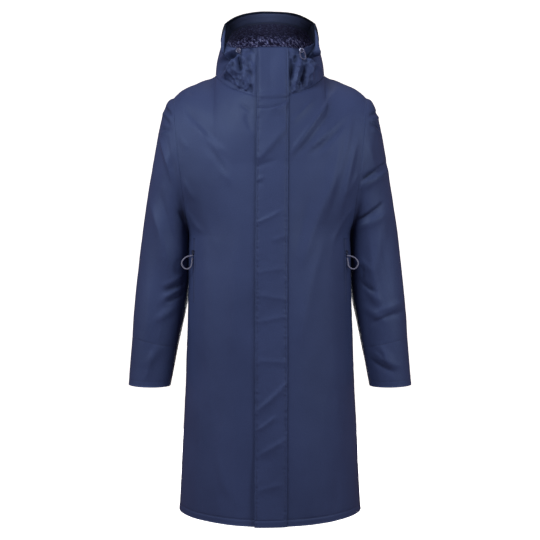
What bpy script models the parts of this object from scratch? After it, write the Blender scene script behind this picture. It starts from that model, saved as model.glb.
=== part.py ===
"""Hooded changing robe, filled out as if worn, with nobody in it.

Metres, +Z up.  The robe faces -Y and +X is the wearer's left.  The origin is the middle of the neck
at the height where the neck meets the shoulders.  Every cloth piece is a grid of points worked out
from the tables below, thickened inwards into a wall.
"""
import math

import bmesh
import bpy
from mathutils import Matrix, Vector

# ---------------------------------------------------------------- driving sizes
SHELL_WALL = 0.0020          # shell cloth with its backing
SEAM_INSET = 0.0006          # each piece stops this far short of a flat seam
CORNER_INSET = 0.0009        # and this far where two walls meet at an angle

HEM_Z = -1.056
ARM_MIDDLE = Vector((0.216, 0.0, -0.217))     # middle of the armhole, on the +X side
ARM_LEAN = 0.019                              # shoulder end lies further out than the underarm
ARM_HALF_HEIGHT = 0.168
ARM_HALF_DEPTH = 0.086
UNDERARM_Z = ARM_MIDDLE.z - ARM_HALF_HEIGHT

NECK_HALF_WIDTH = 0.133
NECK_MIDDLE_Y = 0.005
NECK_FRONT = 0.127           # from the neck's middle forward
NECK_BACK = 0.083            # and backward
NECK_SIDE_Z = 0.006
NECK_FRONT_DROP = 0.067
NECK_BACK_RISE = 0.006
NECK_SHARE = 0.60            # share of a panel's top edge that is neck seam, the rest is shoulder
CHEST_EASE = 0.9             # how gently the fronts leave the neck seam

FLAP_WALL = 0.0024
FLAP_LIFT = 0.0012           # clearance between the flap and the fronts under it
FLAP_FREE_X = (-0.031, -0.035)    # free edge, at the top and at the hem
FLAP_SEWN_X = (0.043, 0.039)      # sewn edge, at the top and at the hem
ZIP_HALF_WIDTH = 0.016
ZIP_WALL = 0.0015
ZIP_DROP = 0.0014            # clearance between the fronts and the zip behind them
ZIP_END_Z = -0.90

LINING_WALL = 0.0026
FACING_WALL = 0.0012
LAYER_GAP = 0.0006           # between a panel and what lies on it
LINING_GAP = 0.0020          # between the hood's shell and what lines it
FACING_SPAN = (0.040, 0.250)      # along the crown, 0 at the brim and 1 at the back neck
LINING_SPAN = (0.2520, 0.955)

POCKET_Z = (-0.392, -0.545)
POCKET_X = (0.1765, 0.1835)
POCKET_WALL = 0.0016
SLIDER_Z = -0.4255
SLIDER_SIZE = (0.0070, 0.0036, 0.0110)        # across, out and down
PULL_CORD = 0.0034           # diameter
PULL_STAND_OFF = 0.0008      # the pull loop hangs this far in front of its slider's middle
HOOD_CORD = 0.0026
CORD_CLEAR = 0.0006          # between a cord's cut end and what it comes out of
EYELET_PLACE = (0.074, 0.050)     # x and z, seen from the front
EYELET_RADIUS = 0.0050
EYELET_WIRE = 0.0012
EYELET_LIFT = 0.0014


def table(names, rows):
    """A short table as a list of rows with named columns."""
    return [dict(zip(names.split(), row)) for row in rows]


# Body sections: half width at the side seam, how far back that seam lies, and the front and back
# depths at the middle.  A fullness of 2 is an oval, less is more pointed at the sides.
BODY = table("z half_width side_y front back fullness", [
    (-0.217, 0.2160, 0.000, -0.141, 0.137, 1.75),
    (-0.300, 0.2060, 0.000, -0.146, 0.141, 1.85),
    (-0.385, 0.1970, 0.000, -0.149, 0.143, 1.95),
    (-0.430, 0.1978, 0.000, -0.150, 0.144, 1.95),
    (-0.500, 0.1992, 0.002, -0.151, 0.144, 1.95),
    (-0.568, 0.2010, 0.004, -0.151, 0.145, 1.95),
    (-0.739, 0.2068, 0.008, -0.151, 0.147, 1.92),
    (-0.935, 0.2164, 0.013, -0.150, 0.150, 1.88),
    (-1.056, 0.2228, 0.016, -0.150, 0.153, 1.85),
])

# Shoulder seam, from the neck to the armhole.
SHOULDER = table("reach x z", [
    (0.00, 0.1330, 0.0060),
    (0.12, 0.1450, -0.0005),
    (0.28, 0.1610, -0.0050),
    (0.48, 0.1820, -0.0145),
    (0.70, 0.2040, -0.0243),
    (0.86, 0.2200, -0.0345),
    (1.00, 0.2350, -0.0490),
])

# Sleeve rings, each a tilted oval given by its outermost and innermost points and its half depth.
SLEEVE = table("ring outer_x outer_z inner_x inner_z half_depth y", [
    (0, 0.2350, -0.0490, 0.1970, -0.385, 0.086, 0.000),
    (1, 0.2485, -0.0562, 0.1985, -0.388, 0.087, 0.006),
    (2, 0.2602, -0.0768, 0.1990, -0.394, 0.089, 0.012),
    (3, 0.2688, -0.1080, 0.1985, -0.402, 0.090, 0.017),
    (4, 0.2778, -0.1500, 0.1978, -0.414, 0.090, 0.022),
    (5, 0.2903, -0.2200, 0.1974, -0.437, 0.088, 0.026),
    (6, 0.3028, -0.2950, 0.1976, -0.470, 0.084, 0.028),
    (7, 0.3148, -0.3750, 0.1992, -0.507, 0.079, 0.028),
    (8, 0.3249, -0.4650, 0.2040, -0.552, 0.073, 0.025),
    (9, 0.3332, -0.5550, 0.2149, -0.604, 0.066, 0.018),
    (10, 0.3399, -0.6520, 0.2284, -0.672, 0.057, 0.011),
    (11, 0.3468, -0.7500, 0.2438, -0.753, 0.049, 0.006),
])

# Upper edge of a hood side panel: the edge of the face opening, from the middle of the collar top
# round to the brim's corner.  "turn" is the place on the neck seam below it, in degrees from the
# front.
OPENING = table("u x y z turn bulge", [
    (0.00, 0.0000, -0.1040, 0.0570, 0.0, 0.000),
    (0.10, 0.0400, -0.1030, 0.0565, 12.0, 0.003),
    (0.19, 0.0760, -0.0980, 0.0560, 23.0, 0.006),
    (0.26, 0.0985, -0.0875, 0.0640, 32.0, 0.008),
    (0.32, 0.1120, -0.0765, 0.0815, 40.0, 0.008),
    (0.37, 0.1115, -0.0770, 0.1005, 45.5, 0.008),
    (0.42, 0.1055, -0.0780, 0.1190, 51.0, 0.008),
])
CORNER_U = OPENING[-1]["u"]

# Crown: the seam between the centre and side panels, and how much higher the middle lies.
CROWN = table("s x y z rise_y rise_z turn bulge", [
    (0.00, 0.1055, -0.0780, 0.1190, -0.004, 0.0270, 51.0, 0.008),
    (0.14, 0.1025, -0.0450, 0.1210, -0.004, 0.0285, 64.0, 0.008),
    (0.29, 0.1000, -0.0050, 0.1190, -0.003, 0.0240, 82.0, 0.008),
    (0.45, 0.0980, 0.0350, 0.1140, 0.003, 0.0225, 101.0, 0.009),
    (0.62, 0.0920, 0.0750, 0.0980, 0.014, 0.0210, 121.0, 0.011),
    (0.78, 0.0770, 0.1050, 0.0660, 0.016, 0.0130, 138.0, 0.008),
    (0.90, 0.0600, 0.1060, 0.0360, 0.012, 0.0050, 150.0, 0.003),
    (1.00, 0.0500, 0.0850, 0.0115, 0.003, 0.0005, 158.0, 0.000),
])
PINCH_RINGS = 7              # the sleeve's rings round out over this many of them
UNDERARM_ROUND = 2.6         # how full the armhole stays towards the underarm
CROWN_ARCH = 2.9             # how square the centre panel's arch is
FOLD_FREE_EDGE = 0.15        # folds fade over this share of a panel beside its side edge
FOLD_FREE_TOP = 0.25         # and over this many rows below its top
FLAP_STRAIGHT_ROW = 0.25     # the flap and zip start to slant from this row down
SIDE_END = 0.955             # where along the crown the side panels stop

# Soft ridges (and troughs, with a negative height) seen from the front: the two ends of each, how
# wide it is and how high it stands.
FRONT_FOLDS = table("x0 z0 x1 z1 width height", [
    (0.170, -0.140, 0.135, -0.300, 0.018, 0.0040),
    (0.135, -0.300, 0.085, -0.440, 0.020, 0.0035),
    (0.200, -0.160, 0.168, -0.320, 0.015, 0.0030),
    (0.052, -0.180, 0.150, -0.050, 0.012, 0.0026),
    (0.088, -0.170, 0.180, -0.080, 0.012, 0.0024),
    (0.115, -0.430, 0.070, -0.640, 0.024, 0.0028),
    (-0.195, -0.085, -0.105, -0.185, 0.013, -0.0026),
    (-0.150, -0.150, -0.105, -0.230, 0.013, -0.0022),
    (-0.150, -0.420, -0.120, -0.700, 0.030, 0.0024),
    (0.120, -0.780, 0.135, -1.055, 0.030, 0.0030),
    (-0.110, -0.800, -0.125, -1.055, 0.030, 0.0030),
])
BACK_FOLDS = table("x0 z0 x1 z1 width height", [
    (-0.170, -0.150, -0.110, -0.330, 0.018, 0.0040),
    (0.175, -0.160, 0.120, -0.350, 0.018, 0.0038),
    (-0.060, -0.080, -0.150, -0.170, 0.013, 0.0024),
    (0.055, -0.090, 0.140, -0.160, 0.013, 0.0024),
    (0.030, -0.330, 0.045, -0.800, 0.030, 0.0032),
    (-0.080, -0.450, -0.090, -1.000, 0.030, 0.0034),
    (0.125, -0.620, 0.140, -1.055, 0.028, 0.0034),
    (-0.160, -0.780, -0.165, -1.055, 0.024, 0.0030),
])
SLEEVE_FOLDS = table("x0 z0 x1 z1 width height", [
    (0.232, -0.170, 0.262, -0.245, 0.012, 0.0040),
    (0.250, -0.100, 0.272, -0.122, 0.008, -0.0030),
    (0.285, -0.330, 0.232, -0.520, 0.016, 0.0042),
    (0.215, -0.500, 0.262, -0.545, 0.009, -0.0040),
    (0.220, -0.555, 0.275, -0.590, 0.009, 0.0034),
    (0.262, -0.650, 0.300, -0.700, 0.011, 0.0030),
])
HOOD_FOLDS = table("x0 z0 x1 z1 width height", [
    (0.076, 0.046, 0.122, 0.026, 0.009, -0.0070),
    (0.080, 0.040, 0.110, -0.012, 0.007, 0.0038),
    (0.074, 0.036, 0.078, -0.030, 0.006, -0.0036),
    (0.068, 0.038, 0.058, -0.044, 0.006, 0.0030),
    (0.092, -0.012, 0.050, -0.046, 0.008, -0.0036),
])

# Routes of the cord loops, in metres: sideways and down from where they start, and outwards.
# A pull loop's sideways is towards the sleeve.
PULL_ROUTE = table("aside down out", [
    (0.0000, -0.0003, 0.0000),
    (0.0070, 0.0008, 0.0004),
    (0.0150, 0.0032, 0.0008),
    (0.0215, 0.0078, 0.0010),
    (0.0258, 0.0145, 0.0010),
    (0.0258, 0.0222, 0.0010),
    (0.0215, 0.0288, 0.0010),
    (0.0148, 0.0318, 0.0010),
    (0.0080, 0.0298, 0.0010),
    (0.0036, 0.0242, 0.0008),
    (0.0022, 0.0170, 0.0006),
    (0.0018, 0.0110, 0.0003),
    (0.0006, 0.0054, 0.0000),
])
HOOD_CORD_ROUTES = {
    "left": table("aside down out", [
        (-0.0016, 0.0000, 0.0000),
        (-0.0020, 0.0006, 0.0036),
        (-0.0042, 0.0042, 0.0064),
        (-0.0056, 0.0100, 0.0074),
        (-0.0044, 0.0166, 0.0076),
        (0.0000, 0.0222, 0.0074),
        (0.0050, 0.0236, 0.0070),
        (0.0082, 0.0200, 0.0068),
        (0.0078, 0.0138, 0.0068),
        (0.0058, 0.0074, 0.0066),
        (0.0032, 0.0022, 0.0052),
        (0.0018, 0.0002, 0.0026),
        (0.0016, 0.0000, 0.0000),
    ]),
    "right": table("aside down out", [
        (-0.0016, 0.0000, 0.0000),
        (-0.0018, 0.0002, 0.0044),
        (-0.0012, 0.0012, 0.0096),
        (0.0004, 0.0034, 0.0146),
        (0.0028, 0.0068, 0.0176),
        (0.0054, 0.0108, 0.0176),
        (0.0070, 0.0132, 0.0146),
        (0.0068, 0.0124, 0.0108),
        (0.0052, 0.0090, 0.0082),
        (0.0034, 0.0044, 0.0066),
        (0.0020, 0.0008, 0.0044),
        (0.0016, 0.0000, 0.0018),
        (0.0016, 0.0000, 0.0000),
    ]),
}

# Grid steps.
PANEL_COLUMNS = 14
YOKE_ROWS = 7
ARMHOLE_ROWS = 6
SKIRT_ROWS = 10
SLEEVE_SIDES = 22
SLEEVE_RINGS = 20
HOOD_COLUMNS = 20
HOOD_ROWS = 8
CROWN_ROWS = 14
CROWN_HALF_COLUMNS = 5

COLOURS = {
    "shell": ((0.046, 0.062, 0.135), 0.55, 0.0),
    "fleece": ((0.026, 0.027, 0.070), 0.95, 0.0),
    "zip": ((0.025, 0.030, 0.060), 0.60, 0.0),
    "cord": ((0.240, 0.240, 0.320), 0.60, 0.0),
    "metal": ((0.420, 0.420, 0.470), 0.35, 0.8),
}


# ---------------------------------------------------------------- reading the tables
def read(rows, key, at, name):
    """One column of a table at a value of its key column, on a smooth curve through the rows."""
    if rows[0][key] > rows[-1][key]:
        rows = rows[::-1]
    last = len(rows) - 2
    low = 0
    while low < last and at > rows[low + 1][key]:
        low += 1
    before = rows[max(low - 1, 0)]
    here = rows[low]
    there = rows[low + 1]
    after = rows[min(low + 2, last + 1)]
    step = there[key] - here[key]
    slope_here = (there[name] - before[name]) / (there[key] - before[key]) * step
    slope_there = (after[name] - here[name]) / (after[key] - here[key]) * step
    t = min(max((at - here[key]) / step, 0.0), 1.0)
    t2 = t * t
    t3 = t2 * t
    return ((2 * t3 - 3 * t2 + 1) * here[name] + (t3 - 2 * t2 + t) * slope_here
            + (3 * t2 - 2 * t3) * there[name] + (t3 - t2) * slope_there)


def mix(a, b, t):
    return a + (b - a) * t


def steps(first, last, count):
    """count equal steps from first to last, both ends included."""
    return [mix(first, last, i / count) for i in range(count + 1)]


def fold_height(folds, x, z):
    """How far the soft folds lift the cloth at a place seen from the front."""
    height = 0.0
    for fold in folds:
        run_x = fold["x1"] - fold["x0"]
        run_z = fold["z1"] - fold["z0"]
        length = math.hypot(run_x, run_z)
        along = ((x - fold["x0"]) * run_x + (z - fold["z0"]) * run_z) / length ** 2
        aside = ((x - fold["x0"]) * run_z - (z - fold["z0"]) * run_x) / length
        taper = math.exp(-(2.0 * along - 1.0) ** 4)
        height += fold["height"] * taper * math.exp(-(aside / fold["width"]) ** 2)
    return height


# ---------------------------------------------------------------- body
def neck_point(turn):
    """A point of the neck seam on the +X side, turn in degrees from the front."""
    angle = math.radians(turn)
    forward = math.cos(angle)
    if forward > 0:
        y = NECK_MIDDLE_Y - NECK_FRONT * forward
        z = NECK_SIDE_Z - NECK_FRONT_DROP * forward ** 1.5
    else:
        y = NECK_MIDDLE_Y - NECK_BACK * forward
        z = NECK_SIDE_Z - NECK_BACK_RISE * forward
    return Vector((NECK_HALF_WIDTH * math.sin(angle), y, z))


def underarm_pinch(turn):
    """How far the armhole narrows towards the underarm, from 1 at half height to 0."""
    below = max(turn / (math.pi / 2) - 1.0, 0.0)
    return 1.0 - below ** UNDERARM_ROUND


def armhole_point(turn, face):
    """A point of the armhole seam, turn from 0 at the shoulder to pi at the underarm."""
    depth = ARM_HALF_DEPTH * math.sin(turn) * underarm_pinch(turn)
    return ARM_MIDDLE + Vector((ARM_LEAN * math.cos(turn), face * depth,
                                ARM_HALF_HEIGHT * math.cos(turn)))


def panel_top(face, u):
    """The neck and shoulder edge of a front (face -1) or back (face 1), from its middle outwards."""
    if u <= NECK_SHARE:
        turn = 90.0 * u / NECK_SHARE
        return neck_point(turn if face < 0 else 180.0 - turn)
    reach = (u - NECK_SHARE) / (1.0 - NECK_SHARE)
    return Vector((read(SHOULDER, "reach", reach, "x"), mix(NECK_MIDDLE_Y, 0.0, reach),
                   read(SHOULDER, "reach", reach, "z")))


def section_point(face, u, z, edge):
    """A point of the level section at height z, from the middle (u 0) to its edge (u 1).

    The section is part of an oval round the origin's axis that passes through the edge.
    """
    middle_y = read(BODY, "z", z, "front" if face < 0 else "back")
    side_y = edge.y if z < UNDERARM_Z else ARM_MIDDLE.y
    power = 2.0 / read(BODY, "z", z, "fullness")
    edge_turn = math.acos(max((edge.y - side_y) / (middle_y - side_y), 0.0) ** (1.0 / power))
    half_width = edge.x / math.sin(edge_turn) ** power
    x = half_width * math.sin(u * edge_turn) ** power
    y = mix(side_y, middle_y, max(math.cos(u * edge_turn), 0.0) ** power)
    return Vector((x, y, z))


def side_seam(z):
    """The side seam between the fronts and the back, on the +X side."""
    return Vector((read(BODY, "z", z, "half_width"), read(BODY, "z", z, "side_y"), z))


def panel_point(face, u, row):
    """A point of a front or back on the +X side, before its folds.

    Row 0 to 1 is the yoke, 1 to 2 runs beside the armhole and 2 to 3 from the underarm to the hem.
    """
    if row <= 1.0:
        turn = row * math.pi / 2
        top = panel_top(face, u)
        low = section_point(face, u, ARM_MIDDLE.z, armhole_point(math.pi / 2, face))
        fall = math.cos(turn)
        ease = 1.0 + CHEST_EASE * (1.0 - u) * (1.0 if face < 0 else 0.3)
        out = math.sin(turn) ** ease
        return Vector((mix(low.x, top.x, fall), mix(top.y, low.y, out), mix(low.z, top.z, fall)))
    if row <= 2.0:
        edge = armhole_point(row * math.pi / 2, face)
        return section_point(face, u, edge.z, edge)
    z = mix(UNDERARM_Z, HEM_Z, row - 2.0)
    return section_point(face, u, z, side_seam(z))


def folded_panel_point(face, u, row, side, out=0.0):
    """A point of a front or back with its folds, side 1 for +X and -1 for -X, moved out by out."""
    small = 0.002
    place = panel_point(face, u, row)
    along_u = panel_point(face, min(u + small, 1.0), row) - panel_point(face, max(u - small, 0.0), row)
    along_row = (panel_point(face, u, min(row + small, 3.0))
                 - panel_point(face, u, max(row - small, 0.0)))
    normal = along_u.cross(along_row)
    if face < 0:
        normal.negate()
    normal.normalize()
    folds = FRONT_FOLDS if face < 0 else BACK_FOLDS
    fade = min((1.0 - u) / FOLD_FREE_EDGE, 1.0) * min(row / FOLD_FREE_TOP, 1.0)
    lift = fold_height(folds, side * place.x, place.z) * fade + out
    place += normal * lift
    place.x *= side
    return place


def front_place(x, row, out=0.0):
    """The point of the fronts at a given x on a row, moved out by out."""
    side = 1 if x >= 0 else -1
    low = 0.0
    high = 0.95
    for _ in range(30):
        middle = (low + high) / 2
        if panel_point(-1, middle, row).x < abs(x):
            low = middle
        else:
            high = middle
    return folded_panel_point(-1, low, row, side, out)


def row_at(z):
    """The panel row of a height below the underarm."""
    return 2.0 + (z - UNDERARM_Z) / (HEM_Z - UNDERARM_Z)


PANEL_ROW_PLACES = (steps(0.0, 1.0, YOKE_ROWS) + steps(1.0, 2.0, ARMHOLE_ROWS)[1:]
                    + steps(2.0, 3.0, SKIRT_ROWS)[1:])


# ---------------------------------------------------------------- sleeves
def sleeve_point(ring, turn, side):
    """A point of a sleeve: turn 0 is its outermost line, a quarter turn its front."""
    outer = Vector((read(SLEEVE, "ring", ring, "outer_x"), 0.0, read(SLEEVE, "ring", ring, "outer_z")))
    inner = Vector((read(SLEEVE, "ring", ring, "inner_x"), 0.0, read(SLEEVE, "ring", ring, "inner_z")))
    depth = read(SLEEVE, "ring", ring, "half_depth")
    place = (outer + inner) / 2 + (outer - inner) / 2 * math.cos(turn)
    pinch = underarm_pinch(min(turn, 2 * math.pi - turn))
    depth *= mix(pinch, 1.0, min(ring / PINCH_RINGS, 1.0))
    place.y = read(SLEEVE, "ring", ring, "y") - depth * math.sin(turn)
    fade = min(ring / 1.5, 1.0) * min((SLEEVE[-1]["ring"] - ring) / 0.8, 1.0)
    lift = fold_height(SLEEVE_FOLDS, place.x, place.z) * fade * abs(math.sin(turn))
    place.y += math.copysign(lift, -math.sin(turn))
    place.x *= side
    return place


# ---------------------------------------------------------------- hood
def side_columns(u):
    """Top, bottom and bulge of a hood side panel's column at u."""
    if u <= CORNER_U:
        rows, key, at = OPENING, "u", u
    else:
        rows, key = CROWN, "s"
        at = (u - CORNER_U) / (1.0 - CORNER_U) * SIDE_END
    top = Vector((read(rows, key, at, "x"), read(rows, key, at, "y"), read(rows, key, at, "z")))
    return top, neck_point(read(rows, key, at, "turn")), read(rows, key, at, "bulge")


def hood_side_base(u, v):
    """A point of the +X hood side panel before its folds, v 0 at the neck seam and 1 at its top."""
    top, bottom, bulge = side_columns(u)
    place = bottom.lerp(top, v)
    outward = Vector((place.x, place.y - NECK_MIDDLE_Y, 0.0)).normalized()
    return place + outward * bulge * 4.0 * v * (1.0 - v)


def hood_side_point(u, v, side, out=0.0):
    """The same with its folds, side 1 for +X and -1 for -X, moved out by out."""
    small = 0.004
    place = hood_side_base(u, v)
    along_u = hood_side_base(min(u + small, 1.0), v) - hood_side_base(max(u - small, 0.0), v)
    along_v = hood_side_base(u, min(v + small, 1.0)) - hood_side_base(u, max(v - small, 0.0))
    normal = along_u.cross(along_v).normalized()
    outward = Vector((place.x, place.y - NECK_MIDDLE_Y, 0.02))
    if normal.dot(outward) < 0:
        normal.negate()
    fade = 4.0 * v * (1.0 - v) * min(max((0.60 - u) / 0.2, 0.0), 1.0)
    lift = fold_height(HOOD_FOLDS, place.x, place.z) * min(fade * 1.5, 1.0)
    place += normal * (lift + out)
    place.x *= side
    return place


def crown_point(s, across):
    """A point of the centre panel, across from -1 to 1."""
    x = read(CROWN, "s", s, "x")
    share = abs(across) ** CROWN_ARCH
    rise_y = read(CROWN, "s", s, "rise_y") * (1.0 - share)
    rise_z = read(CROWN, "s", s, "rise_z") * (1.0 - share)
    return Vector((x * across, read(CROWN, "s", s, "y") + rise_y, read(CROWN, "s", s, "z") + rise_z))


def hood_arch(s, foot, half_columns, side_rows):
    """One arch of the hood, up one side panel from v = foot, over the crown and down the other."""
    u = CORNER_U + s / SIDE_END * (1.0 - CORNER_U)
    rise = [hood_side_point(u, v, -1) for v in steps(foot, 1.0, side_rows)]
    over = [crown_point(s, a) for a in steps(-1.0, 1.0, 2 * half_columns)][1:-1]
    fall = [hood_side_point(u, v, 1) for v in steps(1.0, foot, side_rows)]
    return rise + over + fall


# ---------------------------------------------------------------- grids to solids
def grid_normals(grid):
    """Unit normals of a grid of points, by the differences of its neighbours."""
    normals = []
    for i, row in enumerate(grid):
        line = []
        for j, _ in enumerate(row):
            down = grid[min(i + 1, len(grid) - 1)][j] - grid[max(i - 1, 0)][j]
            across = row[min(j + 1, len(row) - 1)] - row[max(j - 1, 0)]
            line.append(across.cross(down).normalized())
        normals.append(line)
    return normals


def offset_grid(grid, distance):
    """The grid moved along its normals."""
    normals = grid_normals(grid)
    return [[point + normal * distance for point, normal in zip(row, line)]
            for row, line in zip(grid, normals)]


def pull_in(grid, first_row=0.0, last_row=0.0, first_column=0.0, last_column=0.0):
    """Draw the edges of a grid back towards its inside by the distances given."""
    for edge, inner, distance in ((0, 1, first_row), (-1, -2, last_row)):
        for j in range(len(grid[0])):
            step = grid[inner][j] - grid[edge][j]
            grid[edge][j] = grid[edge][j] + step.normalized() * distance
    for edge, inner, distance in ((0, 1, first_column), (-1, -2, last_column)):
        for row in grid:
            step = row[inner] - row[edge]
            row[edge] = row[edge] + step.normalized() * distance


def material(name):
    colour, roughness, metallic = COLOURS[name]
    found = bpy.data.materials.get(name)
    if found:
        return found
    made = bpy.data.materials.new(name)
    made.use_nodes = True
    shader = made.node_tree.nodes["Principled BSDF"]
    shader.inputs["Base Color"].default_value = (*colour, 1.0)
    shader.inputs["Roughness"].default_value = roughness
    shader.inputs["Metallic"].default_value = metallic
    return made


def add_object(name, mesh, material_name):
    piece = bpy.data.objects.new(name, mesh)
    ROBE.objects.link(piece)
    mesh.materials.append(material(material_name))
    mesh.shade_smooth()
    return piece


def cloth(name, grid, wall, material_name, inside, ring=False):
    """A cloth wall: the grid is its outer face, and the wall goes towards the point inside."""
    shape = bmesh.new()
    points = [[shape.verts.new(point) for point in row] for row in grid]
    columns = len(grid[0])
    for upper, lower in zip(points, points[1:]):
        for j in range(columns if ring else columns - 1):
            k = (j + 1) % columns
            shape.faces.new((upper[j], upper[k], lower[k], lower[j]))
    shape.normal_update()
    facing = sum(face.normal.dot(face.calc_center_median() - inside(face.calc_center_median()))
                 for face in shape.faces)
    if facing < 0:
        bmesh.ops.reverse_faces(shape, faces=shape.faces[:])
    mesh = bpy.data.meshes.new(name)
    shape.to_mesh(mesh)
    shape.free()
    piece = add_object(name, mesh, material_name)
    solidify = piece.modifiers.new("wall", "SOLIDIFY")
    solidify.thickness = wall
    solidify.offset = -1.0
    return piece


def body_axis(point):
    return Vector((0.0, 0.0, min(point.z, -0.12)))


def hood_axis(point):
    return Vector((0.0, 0.01, min(point.z, 0.04)))


def sleeve_axis(point):
    """The middle line of the sleeve on the point's side."""
    side = math.copysign(1.0, point.x)
    fall = min(max((-0.12 - point.z) / 0.63, 0.0), 1.0)
    return Vector((side * mix(0.215, 0.294, fall), 0.0, min(point.z, -0.16)))


# ---------------------------------------------------------------- the pieces
def make_front(name, side):
    grid = [[folded_panel_point(-1, u, row, side) for u in steps(0.0, 1.0, PANEL_COLUMNS)]
            for row in PANEL_ROW_PLACES]
    pull_in(grid, first_row=SEAM_INSET, first_column=SEAM_INSET, last_column=SEAM_INSET)
    cloth(name, grid, SHELL_WALL, "shell", body_axis)


def make_back():
    grid = []
    for row in PANEL_ROW_PLACES:
        right = [folded_panel_point(1, u, row, -1) for u in steps(1.0, 0.0, PANEL_COLUMNS)]
        left = [folded_panel_point(1, u, row, 1) for u in steps(0.0, 1.0, PANEL_COLUMNS)]
        grid.append(right + left[1:])
    pull_in(grid, first_row=SEAM_INSET, first_column=SEAM_INSET, last_column=SEAM_INSET)
    cloth("back", grid, SHELL_WALL, "shell", body_axis)


def make_sleeve(name, side):
    rings = []
    for ring in steps(0.0, SLEEVE[-1]["ring"], SLEEVE_RINGS):
        rings.append([sleeve_point(ring, 2 * math.pi * i / SLEEVE_SIDES, side)
                      for i in range(SLEEVE_SIDES)])
    for i, point in enumerate(rings[0]):
        step = rings[1][i] - point
        rings[0][i] = point + step.normalized() * CORNER_INSET
    cloth(name, rings, SHELL_WALL, "shell", sleeve_axis, ring=True)


def make_hood_side(name, side):
    front = steps(0.0, CORNER_U, HOOD_COLUMNS // 2)
    rear = steps(CORNER_U, 1.0, HOOD_COLUMNS // 2)
    grid = [[hood_side_point(u, v, side) for u in front + rear[1:]]
            for v in steps(1.0, 0.0, HOOD_ROWS)]
    pull_in(grid, first_row=CORNER_INSET, last_row=SEAM_INSET, first_column=SEAM_INSET,
            last_column=CORNER_INSET)
    cloth(name, grid, SHELL_WALL, "shell", hood_axis)


def make_hood_centre():
    grid = [[crown_point(s, a) for a in steps(-1.0, 1.0, 2 * CROWN_HALF_COLUMNS)]
            for s in steps(0.0, 1.0, CROWN_ROWS)]
    pull_in(grid, last_row=SEAM_INSET, first_column=CORNER_INSET, last_column=CORNER_INSET)
    cloth("hood_centre", grid, SHELL_WALL, "shell", hood_axis)


def make_hood_layer(name, span, rows, foot, wall, material_name):
    """A layer that lines the hood between two places along the crown."""
    grid = [hood_arch(s, foot, CROWN_HALF_COLUMNS, 6) for s in steps(span[0], span[1], rows)]
    grid = offset_grid(grid, -SHELL_WALL - LINING_GAP)
    pull_in(grid, last_row=SEAM_INSET)
    cloth(name, grid, wall, material_name, hood_axis)


def collar_place(x, v, out):
    """The point of the collar's front at a given x and share v of its height, moved out by out."""
    low = 0.0
    high = 0.3
    for _ in range(30):
        middle = (low + high) / 2
        if hood_side_base(middle, v).x < abs(x):
            low = middle
        else:
            high = middle
    return hood_side_point(low, v, 1 if x >= 0 else -1, out)


def placket_rows(left_x, right_x, columns, end_z, out):
    """Rows of points over the fronts and the collar between two edges, moved out by out."""
    grid = []
    for v in steps(1.0, 0.12, 5):
        grid.append([collar_place(x, v, out) for x in steps(left_x[0], right_x[0], columns)])
    last_row = row_at(end_z)
    for row in PANEL_ROW_PLACES[1:]:
        at = min(row, last_row)
        fall = max(at - FLAP_STRAIGHT_ROW, 0.0) / (3.0 - FLAP_STRAIGHT_ROW)
        edges = (mix(left_x[0], left_x[1], fall), mix(right_x[0], right_x[1], fall))
        grid.append([front_place(x, at, out) for x in steps(edges[0], edges[1], columns)])
        if row >= last_row:
            break
    return grid


def make_storm_flap():
    grid = placket_rows(FLAP_FREE_X, FLAP_SEWN_X, 6, HEM_Z, FLAP_LIFT + FLAP_WALL)
    cloth("storm_flap", grid, FLAP_WALL, "shell", body_axis)


def make_front_zip():
    width = (ZIP_HALF_WIDTH, ZIP_HALF_WIDTH)
    grid = placket_rows((-width[0], -width[1]), width, 2, ZIP_END_Z, -SHELL_WALL - ZIP_DROP)
    cloth("front_zip", grid, ZIP_WALL, "zip", body_axis)


def make_pocket(side_name, side):
    rows = [row_at(z) for z in steps(POCKET_Z[0], POCKET_Z[1], 8)]
    grid = [[front_place(side * x, row, POCKET_WALL + LAYER_GAP)
             for x in steps(POCKET_X[0], POCKET_X[1], 3)] for row in rows]
    cloth("pocket_zip_" + side_name, grid, POCKET_WALL, "zip", body_axis)


def smooth_route(points, pieces):
    """Points on a smooth curve through the given ones."""
    rows = [{"at": i, "x": p.x, "y": p.y, "z": p.z} for i, p in enumerate(points)]
    return [Vector([read(rows, "at", at, axis) for axis in "xyz"])
            for at in steps(0, len(rows) - 1, (len(rows) - 1) * pieces)]


def make_cord(name, points, diameter):
    """A cord as a tube along a smooth curve through the points."""
    curve = bpy.data.curves.new(name, "CURVE")
    curve.dimensions = "3D"
    curve.bevel_depth = diameter / 2
    curve.bevel_resolution = 2
    curve.use_fill_caps = True
    route = smooth_route(points, 2)
    spline = curve.splines.new("POLY")
    spline.points.add(len(route) - 1)
    for place, point in zip(route, spline.points):
        point.co = (*place, 1.0)
    cord = bpy.data.objects.new(name, curve)
    ROBE.objects.link(cord)
    curve.materials.append(material("cord"))


def front_normal(x, row):
    return (front_place(x, row, 0.01) - front_place(x, row)).normalized()


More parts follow.
